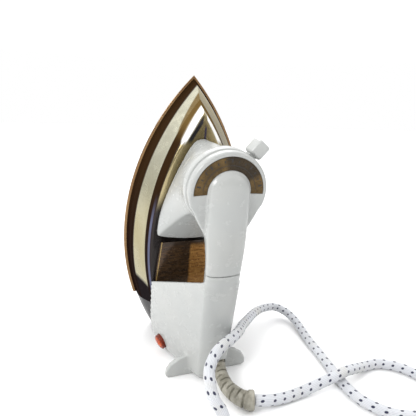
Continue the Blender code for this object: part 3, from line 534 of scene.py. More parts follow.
def cover_finish():
    """Gold plating with painted reflections and shade in bands: gold faces, dark walls and a dark heel."""
    look = Finish("cover_plating_painted_reflections", (0.4, 0.3, 0.2), 0.2, 0.75)
    x, y, z = look.split()
    wobble = (look.noise(0.05, 2) - 0.5) * 5
    away = y - WIDEST_Y
    inset = look.math("SQRT", SIDE_RADIUS ** 2 - away * away) - (SIDE_RADIUS - HALF_WIDTH) - abs(x)
    cloud = look.range(look.noise(1, 3, 0.55, look.scaled((0.05, 0.014, 0.05))), 0.32, 0.7)
    # the flange's rim: gold plating with a painted brown reflection, lighter than the painted shade inside
    rim = look.mix(cloud, (0.175, 0.092, 0.034), (0.24, 0.14, 0.058))
    # painted shade for the walls: near black, a little lighter towards the tip
    dark = look.mix(look.range(y, 70, 190), (0.01, 0.005, 0.004), (0.026, 0.013, 0.005))
    # the sloping face's painted reflections: pale on the left, olive gold on the right, black by the heel
    pale = look.mix(look.range(y, 100, 190), (0.3, 0.265, 0.15), (0.39, 0.378, 0.29))
    pale = look.mix(cloud * 0.35, pale, (0.44, 0.43, 0.345))
    olive = look.mix(look.range(inset, 6.5, 13.5), (0.235, 0.195, 0.092), (0.15, 0.118, 0.048))
    olive = look.mix(cloud * 0.2, olive, (0.33, 0.29, 0.17))
    # near the tip the left face and the upper wall take a painted brown gold reflection
    curl = look.range(inset * 9.1 + y, 313, 320) * look.range(y, 190, 200)
    pale = look.mix(curl, pale, (0.155, 0.105, 0.036))
    # the upper wall's painted shade turns to a painted brown gold reflection at the nose
    fold = look.mix(look.range(y, 186, 204), dark, (0.12, 0.075, 0.025))
    slope = look.mix(look.range(x, -0.5, 0.5), pale, olive)
    edge = y + wobble + inset * 0.9
    # the slope darkens to a painted dark reflection by the heel
    slope = look.mix(look.range(edge, *HEEL_DARK_REFLECTION), (0.012, 0.009, 0.01), slope)
    # the roof's painted reflections: gold, a white highlight and dark lines at the nose, black by the plate
    gold = look.mix(look.range(inset, 17, 24), (0.36, 0.3, 0.16), (0.17, 0.13, 0.055))
    nose = look.range(y, 186, 192)
    narrowing = inset + look.range(y, 200, 222, 0, 2.4)
    flash = nose * (look.range(inset, 16.4, 17.2) * look.range(narrowing, 21.4, 20))
    flash = flash * look.range(x, 0.6, -0.2)
    dark_reflection_streak = look.band(inset, 21, 21.8, 24.2, 25.4) * nose * look.range(x, 0, -0.6)
    gleam = look.range(x, 2.4, 3.2) * look.band(inset, 17.4, 18.2, 20.2, 21.2) * nose
    # a painted dark reflection line beside the white highlight at the nose
    line = look.band(x, 0.9, 1.5, 2.5, 3) * look.range(y, 204, 199)
    roof = look.mix(dark_reflection_streak, gold, (0.012, 0.01, 0.012))
    roof = look.mix(line, roof, (0.035, 0.028, 0.055))
    roof = look.mix(gleam, roof, (0.88, 0.88, 0.86))
    roof = look.mix(flash, roof, (0.9, 0.92, 0.94))
    # painted dark reflection on the roof beside the name plate
    roof = look.mix(look.range(y + wobble, 132, 150), (0.014, 0.01, 0.009), roof)
    # the bands, from the cover's edge inwards
    shade = look.mix(look.range(inset, *RIM_TO_FLANGE), rim, dark)
    shade = look.mix(look.range(inset, *FLANGE_TO_SLOPE), shade, slope)
    shade = look.mix(look.range(inset, *SLOPE_TO_FOLD), shade, fold)
    sheen = look.band(inset, 14.9, 15.5, 16.2, 16.9) * look.range(y, 150, 120)
    shade = look.mix(sheen, shade, (0.1, 0.105, 0.16))
    shade = look.mix(look.range(inset, FOLD_TO_ROOF[0] - nose * 1.2, FOLD_TO_ROOF[1]), shade, roof)
    # the painted dark bands and the two painted highlights are matt, so that nothing mirrors in them
    painted_dark_bands = look.band(inset, 1.6, 2.3, 5.8, 6.4)
    painted_dark_bands += look.range(edge, *reversed(HEEL_DARK_REFLECTION)) * look.band(inset, 5.8, 6.4, 13.4, 13.9)
    painted_dark_bands += look.band(inset, 13.4, 13.9, 16.6, 17.4)
    dull = look.math("MINIMUM", painted_dark_bands + (flash + gleam), 1)
    look.set(Base_Color=shade, Metallic=0.75 - dull * 0.72, Coat_Weight=0.25 - painted_dark_bands * 0.25,
             Specular_IOR_Level=0.5 - painted_dark_bands * 0.5, Coat_Roughness=0.06,
             Roughness=look.range(look.noise(0.16, 4, 0.6), 0.35, 0.72, 0.16, 0.3))
    look.bump(look.noise(0.02, 1, 0.4), 0.25)
    return look


def give(obj, look):
    obj.data.materials.clear()
    obj.data.materials.append(look.material)


def add(obj, look, nodes=(), body="iron", edge=None):
    """Finish a piece: its look, the turn in degrees above which an edge shows, and the body it rides on.

    Nodes are the CAD nodes that it stands for.
    """
    if edge:
        obj.data.set_sharp_from_angle(angle=radians(edge))
    give(obj, look)
    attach(obj, body)
    if nodes:
        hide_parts(*nodes)
    return obj


# ---- sole and gold cover

def make_sole():
    rings = [at_height(sole_outline(inset, HEEL_Y), z) for inset, z in SOLE_PROFILE]
    sole = loft("sole", rings)
    add(sole, metal("sole_metal", (0.62, 0.6, 0.57), 0.24, (0.9, 0.03, 0.9), 0.004),
        ["soleplate"], edge=40)


def make_cover():
    cover = loft("cover", [at_height(sole_outline(inset, HEEL_Y), z) for inset, z in COVER_PROFILE])
    add(cover, cover_finish(), ["cover_shell"], edge=50)


def make_heel():
    """The black heel block behind the cover, smooth along its sides and down to the table."""
    def section(y, extra):
        stops = [(7, 2.4), (3.2, 6), (2.6, 12), (4.6, 23), (13.2, 36), (14.6, 42.4), (18, 45.5)]
        right = [Vector((half_width(y, inset + extra), z, 0)) for inset, z in stops]
        right = smooth_open(right, 4)
        return [(p.x, p.y) for p in right] + [(-p.x, p.y) for p in reversed(right)]

    rings = [[Vector((x, y, z)) for x, z in section(y, 0)]
             for y in (HEEL_Y - 0.3, 40, 36, 32, 27, 22, 17.5, 13, 10, 8)]
    rings.append([Vector((x, z * tan(LEAN) + 0.8, z)) for x, z in section(3.9, 0)])
    rings.append([Vector((x, z * tan(LEAN), z)) for x, z in section(3.5, 0.9)])
    heel = loft("heel", rings)
    black = plastic("heel_black", (0.01, 0.009, 0.01), 0.3)
    black.set(Specular_IOR_Level=0.3, Coat_Weight=0.1)
    add(heel, black, ["heel_block"], edge=45)


def make_name_plate():
    """A gold plate painted with brown and orange reflections, with rows of plain marks."""
    right = [(34.3, 62.3), (33.2, 72.8), (32.4, 81.5), (31.6, 90), (30.6, 98.6), (29.6, 107)]
    outline = right + [(-x, y) for x, y in reversed(right)]
    plate = loft("plate", [at_height(outline, z) for z in (ROOF_Z + 0.3, ROOF_Z + 0.8)])
    look = Finish("plate_print_and_reflections", (0.1, 0.05, 0.02), 0.22, 0.3)
    x, y, z = look.split()
    # the plate's painted reflections: dark brown on the left, orange gold on the right
    brown = look.mix(look.range(look.noise(0.35, 3, 0.6, look.scaled((0.5, 2.4, 1))), 0.35, 0.7),
                     (0.03, 0.017, 0.01), (0.085, 0.047, 0.022))
    orange = look.mix(look.range(look.noise(0.3, 3, 0.6, look.scaled((0.6, 2, 1))), 0.3, 0.7),
                      (0.26, 0.115, 0.03), (0.46, 0.235, 0.07))
    shade = look.mix(look.range(x + look.noise(0.05, 2) * 3, -4, -1.5), brown, orange)
    # a painted shadow from the front base, dark along the plate's front end
    shade = look.mix(look.range(y, 100, 106), shade, (0.03, 0.017, 0.009))
    in_row = look.band(look.math("FRACT", y / 3.1), 0.3, 0.36, 0.66, 0.72)
    dash = look.range(look.noise(1, 1, 0.5, look.scaled((1.25, 0.3226, 0))), 0.5, 0.54)
    inside = look.range(abs(x), 27.5, 27) * look.band(y, 76, 76.5, 104, 104.6)
    shade = look.mix(in_row * dash * inside * 0.55, shade, (0.012, 0.008, 0.006))
    to_side = 33.2 - (y - 72.8) * 0.105 - abs(x)
    shade = look.mix(look.band(to_side, 0.75, 0.95, 1.35, 1.6) * 0.8, shade, (0.42, 0.29, 0.1))
    look.set(Base_Color=shade, Roughness=look.range(look.noise(0.4), 0.3, 0.7, 0.16, 0.3),
             Coat_Weight=0.15, Coat_Roughness=0.05, Specular_IOR_Level=0.3)
    add(rounded(plate, 0.12, 2), look, ["name_plate"])


# ---- white front base, dial and lever

def base_blend(z):
    for (z0, blend0), (z1, blend1) in zip(BASE_BLEND, BASE_BLEND[1:]):
        if z <= z1:
            return blend0 + (blend1 - blend0) * (z - z0) / (z1 - z0)
    return 1


def base_ring(z, blend, inset=0, steps=6):
    left = [(-x, y) for x, y in reversed(SKIRT[1:-1])]
    outline = smooth_closed([Vector((x, y, 0)) for x, y in SKIRT + left], steps)
    ring = []
    for point in outline:
        foot = Vector((point.x, point.y - SKIRT_MIDDLE_Y))
        foot -= foot.normalized() * inset
        angle = atan2(point.y - NECK_AIM_Y, point.x)
        neck_x = (NECK_RADIUS - inset) * cos(angle)
        neck_y = DIAL_Y + (NECK_RADIUS - inset) * sin(angle)
        ring.append(Vector((foot.x + (neck_x - foot.x) * blend,
                            foot.y + SKIRT_MIDDLE_Y + (neck_y - foot.y - SKIRT_MIDDLE_Y) * blend, z)))
    return ring


def make_front_base(white):
    profile = [Vector((z, blend, 0)) for z, blend in BASE_BLEND[1:]]
    rings = [base_ring(BASE_BLEND[0][0], 0)]
    for point in smooth_open(profile, 3):
        rings.append(base_ring(point.x, min(max(point.y, 0), 1)))
    base = loft("front_base_skin", rings)
    moulded(base, 0.75, 7)
    hollow = loft("cut_base", [base_ring(z, base_blend(z + 2.5), 3, 2)
                               for z in (82, 73, 65, 57, 50)] + [base_ring(42, 0, 3, 2)])
    cut(base, hollow, rod("cut_spindle", (0, DIAL_Y, 70), (0, DIAL_Y, 96), 7))
    add(base, white, ["front_base"])
    post = sector("head_post", (11.5, 16.5), radians(100), radians(260),
                  (87, HEAD_Z[0] - 0.4), 40)
    add(rounded(post, 0.4), white, edge=40)


def radial_outline(span, width, angle):
    """A bar's outline that points away from the dial's axis."""
    along = Vector((-sin(angle), cos(angle)))
    across = Vector((along.y, -along.x)) * (width / 2)
    corners = [along * span[0] - across, along * span[0] + across, along * span[1] + across,
               along * span[1] - across]
    return [(p.x, p.y + DIAL_Y) for p in corners]


def bar(name, span, width, angle, heights):
    return loft(name, [at_height(radial_outline(span, width, angle), z) for z in heights])


def make_dial():
    white = plastic("dial_white", (0.42, 0.43, 0.418), 0.26)
    low, high = RING_Z
    inner, outer = RING_RADIUS
    profile = [(inner, low), (outer - 1.2, low), (outer - 0.35, low + 0.35), (outer, low + 1.2),
               (outer, high - 1.5), (outer - 0.35, high - 0.75), (outer - 1.3, high - 0.2),
               (outer - 2.2, high), (inner, high)]
    ring = loft("dial_wheel", [circle(r, z, (0, DIAL_Y), 144) for r, z in profile], looped=True)
    hub = loft("fill_hub", [circle(6.4, z, (0, DIAL_Y)) for z in (low, 98)])
    combine(ring, "UNION", (hub, bar("fill_spoke", (1, 21.5), 6, LEVER_ANGLE, (91, 96)),
                            bar("fill_arm", (26, 33.6), 6, LEVER_ANGLE, (92, 97.4))))
    cut(ring, rod("cut_hub", (0, DIAL_Y, 85), (0, DIAL_Y, 105), 3.4))
    add(ring, white, ["dial_ring"], "dial", edge=32)
    rings = []
    for z, inset in ((KNOB_Z[0], 0), (KNOB_Z[1], 0.35)):
        span = (KNOB_SPAN[0] + inset, KNOB_SPAN[1] - inset)
        rings.append(at_height(radial_outline(span, KNOB_WIDTH - 2 * inset, LEVER_ANGLE), z))
    knob = rounded(loft("lever_tab", rings), 1.9, 6, 20)
    cut(knob, bar("cut_pocket", (25, 34.2), 6.8, LEVER_ANGLE, (91.5, 97.9)))
    add(knob, white, ["lever_knob"], "dial", edge=35)


def make_label():
    """The printed half ring about the grip's end, with plain ticks, dots and an arc."""
    label = sector("label", LABEL_RADIUS, radians(-93), radians(93), LABEL_Z)
    look = Finish("label_print", (0.1, 0.055, 0.022), 0.3, 0.35)
    x, y, z = look.split()
    shade = look.mix(look.range(look.noise(0.12), 0.35, 0.7), (0.06, 0.036, 0.01), (0.115, 0.07, 0.022))
    away = y - DIAL_Y
    radius = look.math("SQRT", x * x + away * away)
    angle = look.math("ARCTAN2", x * -1, away)
    dark = look.range(abs(angle + 0.45), 0.75, 0.5)
    shade = look.mix(dark * 0.75, shade, (0.012, 0.009, 0.006))
    border = look.range(abs(radius - 19.6), 4.35, 4.15)
    look.set(Base_Color=look.mix(border, (0.02, 0.012, 0.006), shade),
             Roughness=look.range(look.noise(0.6), 0.3, 0.7, 0.24, 0.38),
             Coat_Weight=0.08, Coat_Roughness=0.1, Specular_IOR_Level=0.25)
    add(label, look, ["dial_label"], edge=35)
    ink = Finish("label_marks", (0.008, 0.006, 0.005), 0.45)
    ink.set(Roughness=ink.range(ink.noise(1.4, 2), 0.3, 0.7, 0.38, 0.55))
    pieces = [sector("arc", (18.05, 18.45), radians(-84), radians(84), MARK_Z)]
    for step in range(13):
        angle = radians(-78 + 13 * step)
        reach, width = (22.9, 1.05) if step % 3 == 0 else (21.9, 0.7)
        pieces.append(bar("tick", (20.3, reach), width, angle, MARK_Z))
    for group in range(4):
        for dot in range(group + 1):
            angle = radians(-71.5 + 39.0 * group) + (dot - group / 2) * 0.062
            centre = dial_point(22.4, angle, 0)
            pieces.append(loft("dot", [circle(0.42, z, (centre.x, centre.y), 20) for z in MARK_Z]))
    marks = merged("dial_marks", pieces)
    add(marks, ink, edge=35)


def merged(name, objects):
    """One object made of several separate ones."""
    sheet = bmesh.new()
    for other in objects:
        sheet.from_mesh(other.data)
        bpy.data.objects.remove(other, do_unlink=True)
    mesh = bpy.data.meshes.new(name)
    sheet.to_mesh(mesh)
    sheet.free()
    return put(name, mesh)


# ---- handle and rear cover

def body_section(y, ridge, crease, corner, bulge, sag=0, steps=4):
    """A cross-section of the handle or rear cover: crowned top, creases, flanks and underside."""
    half = []
    for step in range(10):
        angle = radians(10 * step)
        half.append((crease[0] * sin(angle), crease[1] + (ridge - crease[1]) * cos(angle)))
    for step in range(3 * steps + 1):
        share = step / (3 * steps)
        x = crease[0] + (corner[0] - crease[0]) * share + bulge * sin(pi * share)
        half.append((x, crease[1] + (corner[1] - crease[1]) * share))
    for share in (0.8, 0.5, 0.25):
        half.append((corner[0] * share, corner[1] - sag * (1 - share ** 2)))
    half.append((0, corner[1] - sag))
    left = [(-x, z) for x, z in reversed(half[1:-1])]
    return half + left


def slanted(section, y, lift=0):
    """Stand a section at a station, or on the table's plane where the station is None."""
    return [Vector((x, z * tan(LEAN) + lift if y is None else y, z)) for x, z in section]


def grip_stations():
    """The grip's sections, smoothed along it, with its rounded end over the disc."""
    rows = [Vector((y, ridge, crease[0])) for y, ridge, crease, corner, bulge in GRIP]
    more = [Vector((crease[1], corner[0], corner[1])) for y, ridge, crease, corner, bulge in GRIP]
    bulges = [Vector((bulge, 0, 0)) for y, ridge, crease, corner, bulge in GRIP]
    rings = []
    for a, b, c in zip(smooth_open(rows, 4), smooth_open(more, 4), smooth_open(bulges, 4)):
        rings.append(slanted(body_section(a.x, a.y, (a.z, b.x), (b.y, b.z), c.x, 1.2), a.x))
    for degrees in range(8, 89, 8):
        share = cos(radians(degrees))
        y = DIAL_Y + 14.6 * sin(radians(degrees))
        rings.append(slanted(body_section(y, 106.0 + 6.6 * share, (14.3 * share, 103.0 + 4.6 * share),
                                          (13.8 * share, 101.6), 0.2), y))
    return rings


def make_handle(white):
    grip = loft("fill_grip", grip_stations())
    flare = [(11.2, 126), (11.7, 131), (12.7, 136), (14.7, 141), (17.6, 146), (20.3, 151),
             (22.6, 156)]
    edge = flare + [tuple(dial_point(HEAD_RADIUS, radians(-110 + 220 * k / 72), 0)[:2])
                    for k in range(73)]
    edge += [(-x, y) for x, y in reversed(flare)]
    rings = []
    for z, scale in ((HEAD_Z[0], 0.965), (HEAD_Z[0] + 0.9, 0.992), (HEAD_Z[0] + 1.7, 1),
                     (HEAD_Z[1] - 1.8, 1), (HEAD_Z[1] - 0.9, 0.992), (HEAD_Z[1] - 0.3, 0.98),
                     (HEAD_Z[1], 0.96)):
        rings.append([Vector((x * scale, HEAD_MIDDLE_Y + (y - HEAD_MIDDLE_Y) * scale, z)) for x, y in edge])
    handle = loft("handle_skin", rings)
    moulded(handle, 0.6, 5, [grip])
    recess = sector("cut_label", (LABEL_RADIUS[0] - 0.25, LABEL_RADIUS[1] + 0.25), radians(-93.6),
                    radians(93.6), (106.6, 110))
    cut(handle, recess)
    add(handle, white, ["handle"], edge=50)


def flank_foot(y):
    return FLANK_FOOT_HALF - 10.0 * (max(40.0 - y, 0) / 34) ** 2.2


def rear_ridge(y):
    return 109.4 + 0.0695 * (y - 18)


def rear_crease(y):
    """Half the width of the rear cover's crown."""
    return 12.0 + 0.021 * (y - 30)


def rear_section(y, foot_z, inset=0, foot_y=None):
    """A section of the rear cover, whose flanks end at foot_z."""
    ridge = rear_ridge(y) - inset
    crease = (rear_crease(y) - 0.8 * inset, ridge - CROWN)
    foot = (flank_foot(y if foot_y is None else foot_y) - 1.1 * inset, FLANK_FOOT_Z)
    share = (crease[1] - foot_z) / (crease[1] - foot[1])
    corner = (crease[0] + (foot[0] - crease[0]) * share, foot_z)
    return body_section(0, ridge, crease, corner, 1.4 * min(share, 1))


def flank_half(y, z):
    """Half the width of the rear cover's flank at a station and height."""
    crease_z = rear_ridge(y) - CROWN
    return rear_crease(y) + (flank_foot(y) - rear_crease(y)) * (crease_z - z) / (crease_z - FLANK_FOOT_Z)


def flank_edge(y):
    """The height that the flank's upper edge has reached at a station."""
    return FLANK_FOOT_Z + (y - FLANK_KNEE_Y) * 1.855


def heel_foot(side):
    """One flat wing that the iron stands on."""
    rings = []
    for z in (FOOT_Z[0], (FOOT_Z[0] + FOOT_Z[1]) / 2, FOOT_Z[1]):
        low = z * tan(LEAN)
        outline = [(8, low), (31.5, low), (33.6, low + 2.6), (32.8, 21.5), (30, 26),
                   (24, 30.5), (14, 34), (8, 34)]
        rings.append([Vector((x * side, y, z)) for x, y in outline])
    return loft(f"fill_foot_{side}", rings)


def make_rear_cover(white):
    rings = []
    for y in (105.4, 102, 98, 93, 88, 80):
        rings.append(slanted(rear_section(y, flank_edge(y)), y))
    for y in (FLANK_KNEE_Y, 60, 46, 36, 28, 22.5):
        rings.append(slanted(rear_section(y, FLANK_FOOT_Z), y))
    rings.append(slanted(rear_section(18, FLANK_FOOT_Z, 0.4, 13), None, 4.2))
    rings.append(slanted(rear_section(16, FLANK_FOOT_Z, 2.6, 9), None, 1))
    core = []
    for y, ridge, half, low in ((SEAM_Y - 0.2, 116, 12.9, 6.2), (104, 115.4, 12.8, 6.2),
                                (96, 114.6, 12.6, 6.4), (64, 111.6, 12, 6.6)):
        core.append(slanted(body_section(0, ridge, (half, ridge - CROWN), (low, 91), 0.6, 1), y))
    cover = loft("rear_cover_skin", stretch(rings, 3))
    recess = []
    for y in (103, 98, 88, 78, 70.5, 64):
        low = flank_edge(y)
        high = min(low + 46, 105)
        recess.append([Vector((sign * (flank_half(y, z) - 2.7), y, z))
                       for sign, z in ((-1, low - 3), (1, low - 3), (1, high), (-1, high))])
    cut(cover, loft("cut_recess", recess))
    moulded(cover, 0.7, 6, [loft("fill_core", core), heel_foot(-1), heel_foot(1)])
    hollow = []
    for y, foot_z in ((82, 94), (76, 83.5), (70, 72.5), (64, 61.5), (58, 50), (52, 40),
                      (44, 40), (30, 40), (25, 40)):
        hollow.append(slanted(rear_section(y, foot_z, 3.4), y))
    hollow.append(slanted(rear_section(17, 40, 4.6, 12), None, 5))
    inside = Vector(BUSH_ROUTE[0])
    outwards = (Vector(BUSH_ROUTE[1]) - inside).normalized()
    outlet = rod("cut_outlet", inside - outwards * 8, inside + outwards * 16, 5.7, transform=WORLD_MM)
    lamp = rod("cut_lamp", LAMP_CENTRE - LAMP_NORMAL * 12, LAMP_CENTRE + LAMP_NORMAL * 6,
               LAMP_RADIUS + 0.25)
    cut(cover, loft("cut_rear", hollow), outlet, lamp)
    add(cover, white, ["rear_cover"], edge=50)


def make_lamp():
    """The pilot lamp's domed lens, with a ring of fine ribs inside its edge."""
    depths = [-3.6, -1, 0.6, 0.95, 1.2, 1.7, 2.05, 2.25, 2.35]
    radii = [LAMP_RADIUS, LAMP_RADIUS, LAMP_RADIUS, 6.2, 5.6, 4.7, 3.3, 1.6, 0.3]
    path = [LAMP_CENTRE + LAMP_NORMAL * depth for depth in depths]
    lens = swept("pilot_window", path, radii, 96,
                 shape=lambda k, angle: 0.1 * cos(24 * angle) if k in (5, 6) else 0)
    look = Finish("lens_orange", (0.62, 0.075, 0.012), 0.16)
    x, y, z = [value - centre for value, centre in zip(look.split(), LAMP_CENTRE)]
    far = look.math("SQRT", x * x + (y * y + z * z))
    glow = look.range(look.noise(0.28, 3, 0.6), 0.35, 0.68)
    shade = look.mix(glow, (0.34, 0.035, 0.003), (0.66, 0.11, 0.008))
    shade = look.mix(look.range(far, 4.2, 6.3), shade, (0.13, 0.018, 0.006))
    facet = look.voronoi(0.55)
    look.set(Base_Color=look.mix(look.range(facet, 0.25, 0.75) * 0.45, shade, (0.16, 0.012, 0.003)),
             Coat_Weight=0.08, Coat_Roughness=0.05, Specular_IOR_Level=0.2)
    look.bump(facet, 0.1, 0.4)
    add(lens, look, ["pilot_lens"], edge=50)


# ---- cord, strain relief, coil and plug

def bush_radius(share):
    position = share * (len(BUSH_RADII) - 1)
    k = min(int(position), len(BUSH_RADII) - 2)
    return BUSH_RADII[k] + (BUSH_RADII[k + 1] - BUSH_RADII[k]) * (position - k)


def make_bush():
    """The ribbed sleeve: slits cut from alternate sides, and a flared collar."""
    step = 0.3
    path = even(smooth_open(BUSH_ROUTE, 12), step)
    last = len(path) - 1
    length = step * last
    radii = []
    for k in range(last + 1):
        radius = bush_radius(k / last) - 0.25
        to_end = length - k * step
        if to_end < 5.0:
            radius = 5.9 + 1.0 * min(1, max(0, (5.0 - to_end) / 1.4))
        if to_end < 0.6:
            radius -= (0.6 - to_end) * 0.7
        radii.append(radius)

    def slit(k, angle):
        at = k * step
        row = (at - SLIT_START) / SLIT_PITCH
        off = abs(row - round(row)) * SLIT_PITCH
        if at < SLIT_START or length - at < 6.0 or off > SLIT_HALF:
            return 0
        turn = cos(angle + (0.5 if round(row) % 2 else 0.5 + pi))
        return -1.8 * min(1, max(0, (turn + 0.55) * 3)) * (1.0 - (off / SLIT_HALF) ** 4)

    bush = swept("cord_sleeve", path, radii, 48, WORLD_MM, slit)
    look = Finish("sleeve_rubber", (0.23, 0.215, 0.17), 0.5, local=False)
    look.set(Base_Color=look.mix(look.range(look.noise(0.18, 4, 0.6), 0.35, 0.7),
                                 (0.19, 0.178, 0.14), (0.31, 0.295, 0.245)),
             Roughness=look.range(look.noise(0.5, 3, 0.6), 0.3, 0.7, 0.42, 0.6))
    look.bump(look.noise(2.6, 3, 0.6), 0.05)
    return add(bush, look, ["cord_bush"], edge=60)


def ease(share):
    share = min(max(share, 0), 1)
    return share * share * (3 - 2 * share)


def coil_path():
    """Four turns and a quarter: two flat rounds, two above them and the last on top."""
    low, middle, top = COIL_LEVELS
    out = []
    steps = int(COIL_TURNS * 60)
    for step in range(steps + 1):
        t = COIL_TURNS * step / steps
        radius = COIL_OUTER + (COIL_INNER - COIL_OUTER) * ease((t - 0.84) / 0.16)
        radius += (COIL_OUTER - COIL_INNER) * ease((t - 2.47) / 0.18)
        radius += ((COIL_INNER + COIL_OUTER) / 2 - COIL_OUTER) * ease((t - 3.28) / 0.2)
        z = low + (middle - low) * ease((t - 1.62) / 0.22) + (top - middle) * ease((t - 3.24) / 0.24)
        radius += 0.25 * sin(5.3 * t) * ease(t) * ease(COIL_TURNS - t)
        angle = pi + 2 * pi * t
        out.append(COIL_CENTRE + Vector((radius * cos(angle), radius * sin(angle), z)))
    return out


def cord_line():
    free = smooth_open(CORD_ROUTE, 12)
    turns = coil_path()
    lead_in = [Vector((-12.2, -157, 4.4)), Vector((-12.2, -168, 4.8))]
    along = Vector((cos(TAIL_ANGLE), sin(TAIL_ANGLE), 0))
    tangent = COIL_CENTRE + Vector((0, -COIL_OUTER, PLUG_Z))
    end = tangent + along * TAIL_SPAN
    tail = [turns[-1] + Vector((9, -0.6, -0.2)), tangent + along * 27, tangent + along * 38, end]
    line = free + smooth_open([free[-1]] + lead_in + [turns[0]], 6)[1:]
    line = line + turns[1:] + smooth_open([turns[-1]] + tail, 6)[1:]
    return even(line, 2), along


def braid_finish():
    """White cotton braid with dark flecks that wind round the cord; it reads the tube's own grid."""
    look = Finish("cord_braid", (0.7, 0.72, 0.76), 0.85, local=False)
    grid = look.node("UVMap")
    grid.uv_map = "grid"
    u, v, w = look.split(grid.outputs["UV"])
    turn, thread = u * 12, v / 1.45
    weave = (look.math("SINE", (turn + thread) * (2 * pi))
             * look.math("SINE", (turn - thread) * (2 * pi)))
    fibre = look.noise(2.2, 4, 0.7)
    # the weave is painted darker in its hollows and lighter on its threads: painted shade
    white = look.mix(look.range(weave, -0.9, 0.9), (0.5, 0.52, 0.56), (0.76, 0.77, 0.8))
    white = look.mix(look.range(look.noise(0.05), 0.45, 0.75) * 0.35, white, (0.6, 0.56, 0.44))
    lengthwise = abs(look.math("FRACT", v / FLECK_PITCH - u) - 0.5) * (FLECK_PITCH / 1.25)
    crosswise = abs(look.math("FRACT", u * 6) - 0.5) * 4.08
    size = lengthwise * lengthwise + crosswise * crosswise + (fibre - 0.5) * 0.8
    look.set(Base_Color=look.mix(look.range(size, 1.15, 0.65), white, (0.012, 0.014, 0.05)),
             Sheen_Weight=0.35, Sheen_Roughness=0.5)
    look.bump(weave, 0.22)
    look.bump(fibre, 0.06)
    return look


def make_cord(bush):
    path, along = cord_line()
    sides = 20
    cord = swept("cord_run", path, [CORD_RADIUS] * len(path), sides, WORLD_MM)
    mesh = cord.data
    layer = mesh.uv_layers.new(name="grid")
    lengths = distances(path)
    for polygon in mesh.polygons:
        corners = [(mesh.loops[i].vertex_index, i) for i in polygon.loop_indices]
        columns = [index % sides for index, loop in corners]
        wraps = max(columns) - min(columns) > sides / 2
        for (index, loop), column in zip(corners, columns):
            turn = column + (sides if wraps and column < sides / 2 else 0)
            layer.data[loop].uv = (turn / sides, lengths[min(index // sides, len(path) - 1)])
    add(cord, braid_finish(), ["cord", "cord_coil", "cord_tail"], edge=60)
    plug, pins = make_plug(path[-1] + along * SLEEVE_GAP, along)
    tie = make_tie()


def make_tie():
    """A soft strap with rounded edges, round the coil's turns."""
    angle = radians(20)
    outwards = Vector((cos(angle), sin(angle), 0))
    across = Vector((-outwards.y, outwards.x, 0))
    middle = (COIL_INNER + COIL_OUTER) / 2
    half = (COIL_OUTER - COIL_INNER) / 2 + CORD_RADIUS
    low, high = COIL_LEVELS[0] - CORD_RADIUS, COIL_LEVELS[2] + CORD_RADIUS
    corners = [(-half, low + 3.4), (-half + 3.2, low), (half - 3.2, low), (half, low + 3.4),
               (half, high - 9), (half - 4.6, high - 0.6), (0, high), (-half + 4.6, high - 0.6),
               (-half, high - 9)]
    outline = [Vector((r, z, 0)) for r, z in corners]
    loop = smooth_closed(outline, 8)
    centre = Vector((0, (low + high) / 2, 0))
    rings = []
    for grow, side in ((0.45, -3), (0.95, -3), (1.15, -2.6), (1.15, 2.6), (0.95, 3), (0.45, 3)):
        ring = []
        for point in loop:
            away = (point - centre).normalized()
            spot = point + away * grow
            spot.y = max(spot.y, 0.15 if grow > 0.5 else 0.6)
            ring.append(COIL_CENTRE + outwards * (middle + spot.x) + Vector((0, 0, spot.y)) + across * side)
        rings.append(ring)
    tie = loft("strap", rings, looped=True, transform=WORLD_MM)
    look = Finish("strap_rubber", (0.02, 0.02, 0.022), 0.55, local=False)
    look.set(Base_Color=look.mix(look.noise(0.3), (0.014, 0.014, 0.016), (0.032, 0.032, 0.035)))
    look.bump(look.noise(2, 3, 0.6), 0.05)
    return add(tie, look, ["coil_tie"], edge=50)


def make_plug(boot_at, along):
    """Moulded plug: ribbed boot, shouldered body with a finger waist, and three round pins."""
    stops = [(0, 5), (0.4, 5.8), (2, 6.2), (3, 6.6), (14, 8.2), (16.5, 9.6), (18, 12),
             (20.5, 15.2), (24, 16.8), (30, 16.6), (35, 16.2), (40, 17.2), (44, 17.8),
             (46.8, 17.4), (48, 16.2)]
    line = smooth_open([Vector((d, r, 0)) for d, r in stops], 8)
    line = even(line, 0.45)
    path = [boot_at + along * p.x for p in line]
    across = Vector((0, 0, 1)).cross(along)

    def ribs(k, angle):
        depth = line[k].x
        if 3.0 < depth < 14.0:
            return -0.55 * (0.5 + 0.5 * cos(2 * pi * depth / 2.2)) ** 2
        return 0

    plug = swept("plug_shell", path, [p.y for p in line], 64, WORLD_MM, ribs)
    add(plug, plastic("plug_black", (0.028, 0.028, 0.031), 0.42, local=False),
        ["plug_body"], edge=40)
    brass = metal("pin_brass", (0.72, 0.53, 0.24), 0.24, (0.8, 6, 6), 0.004, local=False)
    face = path[-1]
    pins = []
    for name, offset, radius, length in (("live", across * 9.5 - Vector((0, 0, 6.5)), 2.54, 14.9),
                                         ("neutral", across * -9.5 - Vector((0, 0, 6.5)), 2.54, 14.9),
                                         ("earth", Vector((0, 0, 9)), 3.53, 20.6)):
        start = face + offset + along * 0.05
        reach = [(0, radius), (length - 1.6, radius), (length - 0.7, radius * 0.9),
                 (length - 0.15, radius * 0.6), (length, radius * 0.25)]
        route = [start + along * d for d, r in reach]
        pin = swept(f"pin_{name}", route, [r for d, r in reach], 32, WORLD_MM)
        pins.append(add(pin, brass, [f"plug_pin_{name}"], edge=50))
    return plug, pins


# ---- finishes of the inner CAD pieces

